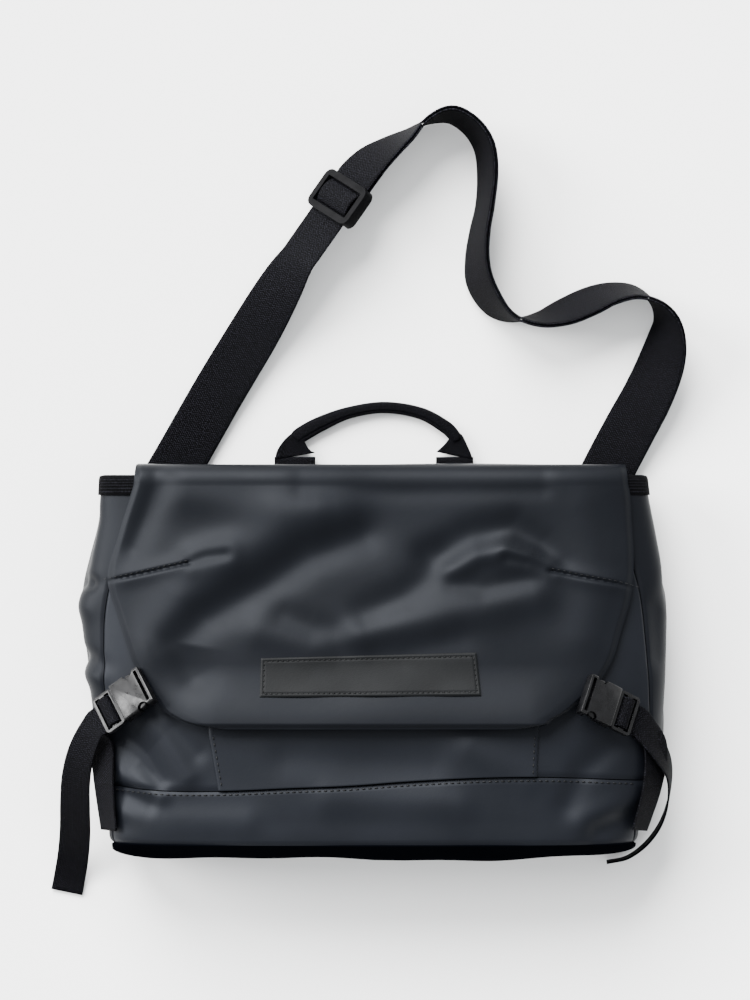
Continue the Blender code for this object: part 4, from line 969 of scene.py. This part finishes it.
# ---- buckles and side straps -------------------------------------------------------
FRAME_LENGTH, FRAME_THICK, END_BAR, SLOT, CORE = 16.6, 3.4, 2.1, 3.8, 4.2
TAIL_THICK = 1.4
BUCKLES = {
    "left": {"middle": (-179.5, -29.0), "axis": (0.81, 0.59), "top": (-0.45, 0.30, 0.84), "raise": 12.5},
    "right": {"middle": (171.2, -31.4), "axis": (-0.89, 0.455), "top": (0.45, 0.22, 0.86), "raise": 13.0},
}
SIDE_STRAP_SKIN = ((0.035, 14.0, 2.6), (0.16, 17.0, 3.4), (0.27, 21.0, 4.2))
TAIL_ROUTES = {
    "left": (
        ((-207.0, -64.0, 67.0), (-0.72, 0.62, -0.36)), ((-211.5, -83.0, 56.0), (-0.88, 0.38, -0.28)),
        ((-213.0, -103.0, 43.0), (-0.95, 0.24, -0.20)), ((-214.0, -123.0, 27.0), (-0.96, 0.22, -0.12)),
        ((-216.5, -142.0, 11.0), (-0.965, 0.25, -0.05)), ((-219.5, -158.0, 3.0), (-0.965, 0.26, 0.0)),
        ((-221.5, -168.0, 1.6), (-0.965, 0.26, 0.0)),
    ),
    "right": (
        ((203.5, -61.0, 69.0), (-0.34, -0.58, 0.74)), ((211.5, -76.0, 56.0), (-0.20, -0.36, 0.91)),
        ((212.5, -96.0, 40.0), (-0.10, -0.16, 0.98)), ((208.0, -115.0, 27.0), (-0.04, -0.08, 0.99)),
        ((198.0, -131.0, 18.0), (-0.02, -0.04, 1.0)), ((184.0, -142.0, 14.0), (0.0, 0.0, 1.0)),
        ((169.0, -145.5, 13.2), (0.0, 0.0, 1.0)),
    ),
}


def buckle_frame(side):
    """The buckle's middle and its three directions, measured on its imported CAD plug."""
    place = BUCKLES[side]
    top = np.array(place["top"]) / np.linalg.norm(place["top"])
    flat = np.array((*place["axis"], 0.0)) / np.linalg.norm(place["axis"])
    along = np.array((flat[0], flat[1], -(flat @ top) / top[2]))
    along /= np.linalg.norm(along)
    across = np.cross(top, along)
    corners = np.array([corner.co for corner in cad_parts["buckle_plug_" + side].data.vertices]) / MM
    reach, wide, high = corners @ along, corners @ across, corners @ top
    middle = (along * (reach.min() + FRAME_LENGTH) + across * (wide.max() + wide.min()) / 2
              + top * (high.max() + high.min()) / 2)
    return middle, along, across, top


def band_between(name, pairs, width, node, plain=0):
    """A strap through (middle, way across) pairs, the first few left unsmoothed, and its path."""
    rows = np.array([np.concatenate(pair) for pair in pairs])
    rows = np.concatenate((rows[:plain], route_samples(rows[plain:], 2.5)))
    piece = webbing(name, rows[:, :3], rows[:, 3:], width, TAIL_THICK, finish_of("webbing"))
    return belongs(piece, "bag_body", "webbing", node), rows[:, :3]


def rise_on_gusset(hand):
    """A side strap's run on the gusset, as (middle, way across) pairs."""
    pairs = []
    for share, angle, out in SIDE_STRAP_SKIN:
        y = np.array([FOOT + (MOUTH - FOOT) * share])
        turn = angle if hand > 0 else 180 - angle
        way = (skin(y, turn + hand * 4, out) - skin(y, turn - hand * 4, out))[0]
        pairs.append((skin(y, turn, out)[0], way / np.linalg.norm(way) * hand))
    return pairs


def make_side_strap(side, hand):
    """A side strap, fixed to the gusset, and its tail woven through the buckle's slots."""
    width = sizes().tail_width / MM
    middle, along, across, top = buckle_frame(side)

    def spot(ahead, above):
        return middle + along * ahead + top * above, across

    start = END_BAR - FRAME_LENGTH
    slot_a, core = start + SLOT / 2, start + SLOT + CORE / 2
    slot_b = slot_a + SLOT + CORE
    half = FRAME_THICK / 2
    under = half + TAIL_THICK / 2 + 0.4
    lower = under + TAIL_THICK + 0.4
    pairs = rise_on_gusset(hand)
    pairs += [spot(start - 10, -lower - 1.2), spot(start, -lower), spot(slot_b, -lower)]
    band_between("side_webbing_" + side, pairs, width, "side_strap_" + side)
    weave = [spot(slot_b, -under - 0.6), spot(slot_b, half - 0.5), spot(core + 2.4, under),
             spot(core, under + 0.1), spot(core - 2.4, under), spot(slot_a, half - 0.5),
             spot(slot_a, 0.5 - half), spot(start + 0.2, -under), spot(start - END_BAR, -under)]
    rest = [spot(start - 6, -under + 0.4), spot(start - 10, -under)]
    rest += [(np.array(one), np.array(way)) for one, way in TAIL_ROUTES[side]]
    piece, path = band_between("tail_webbing_" + side, weave + rest, width, "tail_" + side, len(weave))


def make_buckle(side):
    """Plug frame, socket, spring arms and the webbing tab that holds the socket."""
    softened("buckle_frame_" + side, "buckle_plug_" + side, "acetal", "bag_body", "black_plastic", 0.55, 3)
    softened("buckle_housing_" + side, "buckle_socket_" + side, "acetal", "flap", "black_plastic", 0.55, 3)
    for one in "ab":
        body = "prong_%s_%s" % (side, one)
        softened("spring_arm_%s_%s" % (side, one), body, "acetal", body, "black_plastic", 0.4, 2)
    tab = softened("tab_webbing_" + side, "flap_tab_" + side, "webbing", "flap", "webbing", 0.3, 2)
    along, across = buckle_frame(side)[1:3]
    weave_by_place(tab, across, along)


# ---- label, pocket, binding, inside --------------------------------------------------
LABEL_WIDE, LABEL_TALL, LABEL_THICK = 154.0, 28.0, 1.7
LABEL_STITCH_INSET = 2.4
LABEL_CORNERS = ((-79.5, -23.0), (76.7, -21.8), (73.4, 8.3), (-78.8, 4.2))


def on_label(u, v):
    """Point of the label's four-sided outline, as shares of its width and height."""
    low = np.outer(1 - u, LABEL_CORNERS[0]) + np.outer(u, LABEL_CORNERS[1])
    high = np.outer(1 - u, LABEL_CORNERS[3]) + np.outer(u, LABEL_CORNERS[2])
    return low + (high - low) * v[:, None]


def make_label():
    def surface(u, v):
        spot = on_label(u, v)
        near = np.minimum(np.minimum(u, 1 - u) * LABEL_WIDE, np.minimum(v, 1 - v) * LABEL_TALL)
        z = flap_top_z(spot[:, 0], spot[:, 1]) + 1.6
        z += 0.35 * np.sin(spot[:, 0] / 9 + 1) * np.exp(-(v * LABEL_TALL / 7) ** 2)
        z -= 0.7 * (1 - ease(near / 1.2)) + 0.35 * np.exp(-((near - LABEL_STITCH_INSET) / 0.7) ** 2)
        return np.stack((spot[:, 0], spot[:, 1], z), axis=-1)

    piece = finish_mesh("leather_label", cloth_grid(surface, 300, 60, (0.156, 0.029)), finish_of("leather"))
    add_wall(piece, LABEL_THICK, -1.0, 0.3)
    belongs(piece, "flap", "leather", "label_patch")


def label_stitches():
    low = np.array((LABEL_STITCH_INSET / LABEL_WIDE, LABEL_STITCH_INSET / LABEL_TALL))
    high = 1 - low
    corners = ((low[0], low[1]), (high[0], low[1]), (high[0], high[1]), (low[0], high[1]), (low[0], low[1]))
    paths = []
    for first, second in zip(corners[:-1], corners[1:]):
        spot = on_label(*np.linspace(first, second, 40).T)
        paths.append((np.column_stack((spot, flap_top_z(spot[:, 0], spot[:, 1]) + 1.62)), (0, 0, 1)))
    stitch_row("label_stitches", paths, "flap", 2.6, 1.1, 0.75)


POCKET_TOP, POCKET_WIDE = 40.0, 226.0
POCKET_LEFT = ((-116.0, -50.0), (-109.5, -87.0))
POCKET_RIGHT = ((118.0, -50.0), (116.5, -78.5))
SEAM = ((-195, -86), (-146, -90), (-108, -90), (-62, -88), (-9, -85.7), (20, -83.5), (118, -80), (190, -83))


def front_face(x, y, up=0.0):
    """Point on the front cloth, folds included, and up above it."""
    points = np.stack((x, y, front_z(x, y)), axis=-1)
    points[:, 2] += body_relief(points) + up
    return points


def make_front_pocket():
    def surface(u, v):
        y = POCKET_TOP - 128 * (1 - v)
        left = np.interp(y, (-90, -50, POCKET_TOP), (-108.8, -116.0, -118.0))
        right = np.interp(y, (-90, -50, POCKET_TOP), (116.6, 118.0, 118.5))
        x = left + (right - left) * u
        low = profile(SEAM, x) + 0.5
        y = low + (POCKET_TOP - low) * v
        near = np.minimum(u, 1 - u) * POCKET_WIDE
        point = front_face(x, y, 1.7)
        point[:, 2] -= 1.1 * (1 - ease(near / 1.6))
        return point

    piece = finish_mesh("pocket_cloth", cloth_grid(surface, 220, 110, (0.226, 0.125)), finish_of("front"))
    add_wall(piece, 1.0, -1.0, 0.3)
    belongs(piece, "bag_body", "fabric", "front_pocket")

    def binding(u, v):
        x = -118 + 236.5 * u
        y = 38.5 + 7.5 * v
        return front_face(x, y, 2.3 - 1.2 * np.abs(2 * v - 1) ** 3)

    piece = finish_mesh("pocket_edge_binding", cloth_grid(binding, 200, 8, (0.236, 0.008)),
                        finish_of("binding"))
    add_wall(piece, 0.8, -1.0)
    belongs(piece, "bag_body", "binding", "pocket_binding")


def make_mouth_binding():
    """Tape folded over the mouth's rim, all the way round."""
    out, height = np.array((
        (1.5, 119.5), (1.7, 120.2), (1.8, 126), (1.8, 131), (1.2, 133.2), (-1.6, 134.0), (-4.6, 133.2),
        (-5.4, 131), (-5.4, 124), (-5.2, 121.0), (-4.9, 120.4), (-1.5, 120.0))).T

    def surface(u, v):
        corner = np.rint(u * len(out)).astype(int) % len(out)
        return skin(height[corner], 360 * v, out[corner])

    builder = cloth_grid(surface, len(out), 220, (0.03, 0.95))
    close_tube(builder, 0)
    piece = finish_mesh("mouth_binding", builder, finish_of("binding"))
    belongs(piece, "bag_body", "binding", "mouth_tape_front", "mouth_tape_left", "mouth_tape_right")


LINING_FOOT = 0.16              # share of the lining that closes it at the foot
QUILT_WIDE, QUILT_TALL, QUILT_START = 0.040, 0.0414, 0.112
QUILT_HALF, QUILT_RIM = 0.156, 0.012


def make_lining():
    foot = FOOT + 2.0

    def surface(u, v):
        share = np.clip((v - LINING_FOOT) / (1 - LINING_FOOT), 0, 1)
        close = np.clip(1 - v / LINING_FOOT, 0, 1)
        y = foot + (131.0 - foot) * share
        point = skin(y, 360 * u, -LINING_DEPTH)
        middle = (back_height(y) + profile(FRONT_HEIGHT, y)) / 2
        point[:, 2] = middle + (point[:, 2] - middle) * (1 - close)
        point[:, 1] -= 5.0 * np.sin(close * pi / 2)
        point[:, 0] *= 1 - 0.06 * close ** 2
        sag = 0.8 * np.sin(point[:, 0] / 19 + point[:, 1] / 31) * share
        point[:, 2] -= sag * ease((point[:, 2] - 12) / 15)
        return point

    builder = cloth_grid(surface, 160, 110)
    close_tube(builder, 0)
    piece = finish_mesh("lining_cloth", builder, finish_of("lining"))
    add_wall(piece, 0.6, 0.0)
    belongs(piece, "bag_body", "lining", "lining")


def make_sleeve():
    """Padded sleeve for a computer, quilted into squares."""
    builder = bmesh.new()
    bmesh.ops.create_cube(builder, size=1.0)
    low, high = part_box("sleeve_pad")
    centre = (high + low) / 2
    bmesh.ops.scale(builder, vec=(high - low) * 0.985, verts=builder.verts)
    bmesh.ops.translate(builder, vec=centre, verts=builder.verts)
    bmesh.ops.subdivide_edges(builder, edges=[edge for edge in builder.edges if edge.calc_length() > 0.05],
                              cuts=48, use_grid_fill=True)
    for corner in builder.verts:
        x, y = corner.co.x, corner.co.y
        quilt = abs(sin(pi * x / QUILT_WIDE)) ** 0.5 * abs(sin(pi * (y + QUILT_START) / QUILT_TALL)) ** 0.5
        rim = min(1.0, (QUILT_HALF - abs(x)) / QUILT_RIM, (high.y - y) / QUILT_RIM, (y - low.y) / QUILT_RIM)
        puff = (0.55 + 0.45 * quilt) * max(0.25, rim) ** 0.5
        corner.co.z = centre.z + (corner.co.z - centre.z) * puff
    pad = finish_mesh("sleeve_padding", builder, finish_of("padding"))
    settle(pad)
    belongs(pad, "bag_body", "padding", "sleeve_pad")


def make_inner_pocket():
    low, high = (np.array(corner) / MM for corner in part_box("inner_pocket"))

    def surface(u, v):
        slack = np.sin(pi * u) * ease(v) * (high[2] - low[2] - 0.8)
        gather = 0.12 * np.sin(u * 34) * ease((v - 0.6) / 0.4)
        spot = low + (high - low) * np.stack((u, v, 0 * u), axis=-1)
        spot[:, 2] += 0.4 + slack * 0.5 + gather
        return spot

    piece = finish_mesh("inner_pocket_cloth", cloth_grid(surface, 90, 50), finish_of("lining"))
    add_wall(piece, 0.5, 0.0)
    belongs(piece, "bag_body", "lining", "inner_pocket")


# ---- stitching -----------------------------------------------------------------------
def make_stitches():
    label_stitches()
    x = np.linspace(-183, 186, 90)
    seam = profile(SEAM, x)
    rows = [(front_face(x, seam - 2.4, 0.35), (0, 0, 1))]
    for line, shift in ((POCKET_LEFT, 3.2), (POCKET_RIGHT, -3.2)):
        (x0, y0), (x1, y1) = line
        share = np.linspace(0, 1, 14)
        rows.append((front_face(x0 + (x1 - x0) * share + shift, y0 + (y1 - y0) * share, 1.9), (0, 0, 1)))
    stitch_row("front_stitches", rows, "bag_body", sizes().stitch_length / MM, 1.3, 0.9)
    rows = []
    for dart in (LEFT_DART, RIGHT_DART):
        line = route_samples([(px, py, 0.0) for px, py in dart], 4)
        spot = line[:, :2] + (0, 1.9)
        rows.append((np.column_stack((spot, flap_top_z(spot[:, 0], spot[:, 1]) + 0.1)), (0, 0, 1)))
    stitch_row("dart_stitches", rows, "flap", 2.8, 1.2, 0.6)


# ---- settings and operators --------------------------------------------------------
class BagSizes(bpy.types.PropertyGroup):
    strap_width: FloatProperty(name="Strap width", description="Width of the shoulder webbing",
                               default=0.038, min=0.02, max=0.06, unit="LENGTH")
    tail_width: FloatProperty(name="Side strap width", description="Width of the side straps' webbing",
                              default=0.023, min=0.015, max=0.04, unit="LENGTH")
    stitch_length: FloatProperty(name="Stitch length",
                                 description="Length of one stitch of the front's seams",
                                 default=0.0032, min=0.001, max=0.008, unit="LENGTH")
    camera_height: FloatProperty(name="Camera height", description="Height of the camera above the floor",
                                 default=3.5, min=1.0, max=8.0, unit="LENGTH")


def colour_setting(name, words, code):
    return FloatVectorProperty(name=name, description=words, subtype="COLOR", size=4,
                               default=linear(code), min=0.0, max=1.0)


class BagColours(bpy.types.PropertyGroup):
    fabric: colour_setting("Fabric", "Colour of the coated fabric", "#050609")
    webbing: colour_setting("Webbing", "Colour of straps, handle and thread", "#030304")
    leather: colour_setting("Label", "Colour of the leather label", "#090a0b")
    plastic: colour_setting("Plastic", "Colour of buckles, slider and ring", "#050506")
    lining: colour_setting("Lining", "Colour of the lining", "#0c0d0f")
    floor: colour_setting("Floor", "Colour of the floor", "#f6f6f5")


class BAG_OT_stage(bpy.types.Operator):
    """Floor, soft lights and the camera straight above the bag"""
    bl_idname = "bag.stage"
    bl_label = "Stage"

    def execute(self, context):
        builder = bmesh.new()
        bmesh.ops.create_grid(builder, x_segments=2, y_segments=2, size=4.0)
        floor = finish_mesh("floor", builder, painted_floor())
        floor.location.z = -0.0002
        world = bpy.data.worlds.new("studio_air")
        world.use_nodes = True
        world.node_tree.nodes["Background"].inputs["Color"].default_value = linear("#f4f6f8")
        world.node_tree.nodes["Background"].inputs["Strength"].default_value = 1.7
        context.scene.world = world
        for name, toward, width, strength in (
                ("window_light", (-0.30, 0.78, 0.62), 40.0, 14.0),
                ("left_strip", (-0.82, 0.30, 0.42), 28.0, 8.0)):
            light = bpy.data.lights.new(name, "SUN")
            light.angle = radians(width)
            light.energy = strength
            lamp = bpy.data.objects.new(name, light)
            lamp.location = Vector(toward) * 3
            lamp.rotation_euler = (-Vector(toward)).to_track_quat("-Z", "Y").to_euler()
            context.scene.collection.objects.link(lamp)
        camera = bpy.data.objects.new("camera", bpy.data.cameras.new("camera"))
        camera.data.sensor_fit = "VERTICAL"
        camera.data.angle = 2 * atan(0.3625 / sizes().camera_height)
        camera.location = (0.0018, 0.116, sizes().camera_height)
        context.scene.collection.objects.link(camera)
        context.scene.camera = camera
        return {"FINISHED"}


class BAG_OT_body(bpy.types.Operator):
    """Front, lower band, back, gussets and bottom of the bag"""
    bl_idname = "bag.body"
    bl_label = "Body"

    def execute(self, context):
        make_front_and_back()
        make_gussets()
        make_bottom()
        return {"FINISHED"}


class BAG_OT_pocket(bpy.types.Operator):
    """Pocket on the front, with its bound edge"""
    bl_idname = "bag.pocket"
    bl_label = "Front pocket"

    def execute(self, context):
        make_front_pocket()
        return {"FINISHED"}


class BAG_OT_mouth(bpy.types.Operator):
    """Tape folded over the rim of the mouth"""
    bl_idname = "bag.mouth"
    bl_label = "Mouth binding"

    def execute(self, context):
        make_mouth_binding()
        return {"FINISHED"}


class BAG_OT_inside(bpy.types.Operator):
    """Lining, padded sleeve, inner pocket and boards"""
    bl_idname = "bag.inside"
    bl_label = "Inside"

    def execute(self, context):
        make_lining()
        make_sleeve()
        make_inner_pocket()
        for board in ("back_stiffener", "base_board"):
            plain_cad(board, "board")
        return {"FINISHED"}


class BAG_OT_flap(bpy.types.Operator):
    """Flap over the mouth and down the front"""
    bl_idname = "bag.flap"
    bl_label = "Flap"

    def execute(self, context):
        make_flap()
        return {"FINISHED"}


class BAG_OT_label(bpy.types.Operator):
    """Leather label sewn on the flap"""
    bl_idname = "bag.label"
    bl_label = "Label"

    def execute(self, context):
        make_label()
        return {"FINISHED"}


class BAG_OT_shoulder_strap(bpy.types.Operator):
    """Shoulder webbing in two layers, with its slider and ring"""
    bl_idname = "bag.shoulder_strap"
    bl_label = "Shoulder strap"

    def execute(self, context):
        make_through_layer()
        make_return_layer()
        make_slider()
        make_strap_ends()
        return {"FINISHED"}


class BAG_OT_handle(bpy.types.Operator):
    """Folded webbing handle and its sewn ends"""
    bl_idname = "bag.handle"
    bl_label = "Handle"

    def execute(self, context):
        make_handle()
        return {"FINISHED"}


class BAG_OT_side_straps(bpy.types.Operator):
    """Side straps with their buckles and free tails"""
    bl_idname = "bag.side_straps"
    bl_label = "Side straps"

    def execute(self, context):
        for side, hand in (("left", -1), ("right", 1)):
            make_side_strap(side, hand)
            make_buckle(side)
        return {"FINISHED"}


class BAG_OT_stitches(bpy.types.Operator):
    """Sewing threads of the label, the front and the darts"""
    bl_idname = "bag.stitches"
    bl_label = "Stitches"

    def execute(self, context):
        make_stitches()
        return {"FINISHED"}


OPERATORS = (BAG_OT_stage, BAG_OT_body, BAG_OT_pocket, BAG_OT_mouth, BAG_OT_inside,
             BAG_OT_flap, BAG_OT_label, BAG_OT_shoulder_strap, BAG_OT_handle,
             BAG_OT_side_straps, BAG_OT_stitches)


class BAG_PT_panel(bpy.types.Panel):
    """Buttons and settings of the bag in the 3D view's sidebar"""
    bl_idname = "BAG_PT_panel"
    bl_label = "Messenger Bag"
    bl_space_type = "VIEW_3D"
    bl_region_type = "UI"
    bl_category = "Bag"

    def draw(self, context):
        for settings in (context.scene.bag_sizes, context.scene.bag_colours):
            for name in settings.bl_rna.properties.keys():
                if name not in ("rna_type", "name"):
                    self.layout.prop(settings, name)
        for one in OPERATORS:
            self.layout.operator(one.bl_idname)


CLASSES = (BagSizes, BagColours, *OPERATORS, BAG_PT_panel)


def register():
    for one in CLASSES:
        bpy.utils.register_class(one)
    bpy.types.Scene.bag_sizes = PointerProperty(type=BagSizes)
    bpy.types.Scene.bag_colours = PointerProperty(type=BagColours)


def unregister():
    del bpy.types.Scene.bag_colours
    del bpy.types.Scene.bag_sizes
    for one in reversed(CLASSES):
        bpy.utils.unregister_class(one)


def main():
    register()
    bpy.ops.bag.stage()
    bpy.ops.bag.body()
    bpy.ops.bag.pocket()
    bpy.ops.bag.mouth()
    bpy.ops.bag.inside()
    bpy.ops.bag.flap()
    bpy.ops.bag.label()
    bpy.ops.bag.shoulder_strap()
    bpy.ops.bag.handle()
    bpy.ops.bag.side_straps()
    bpy.ops.bag.stitches()


if __name__ == "__main__":
    main()
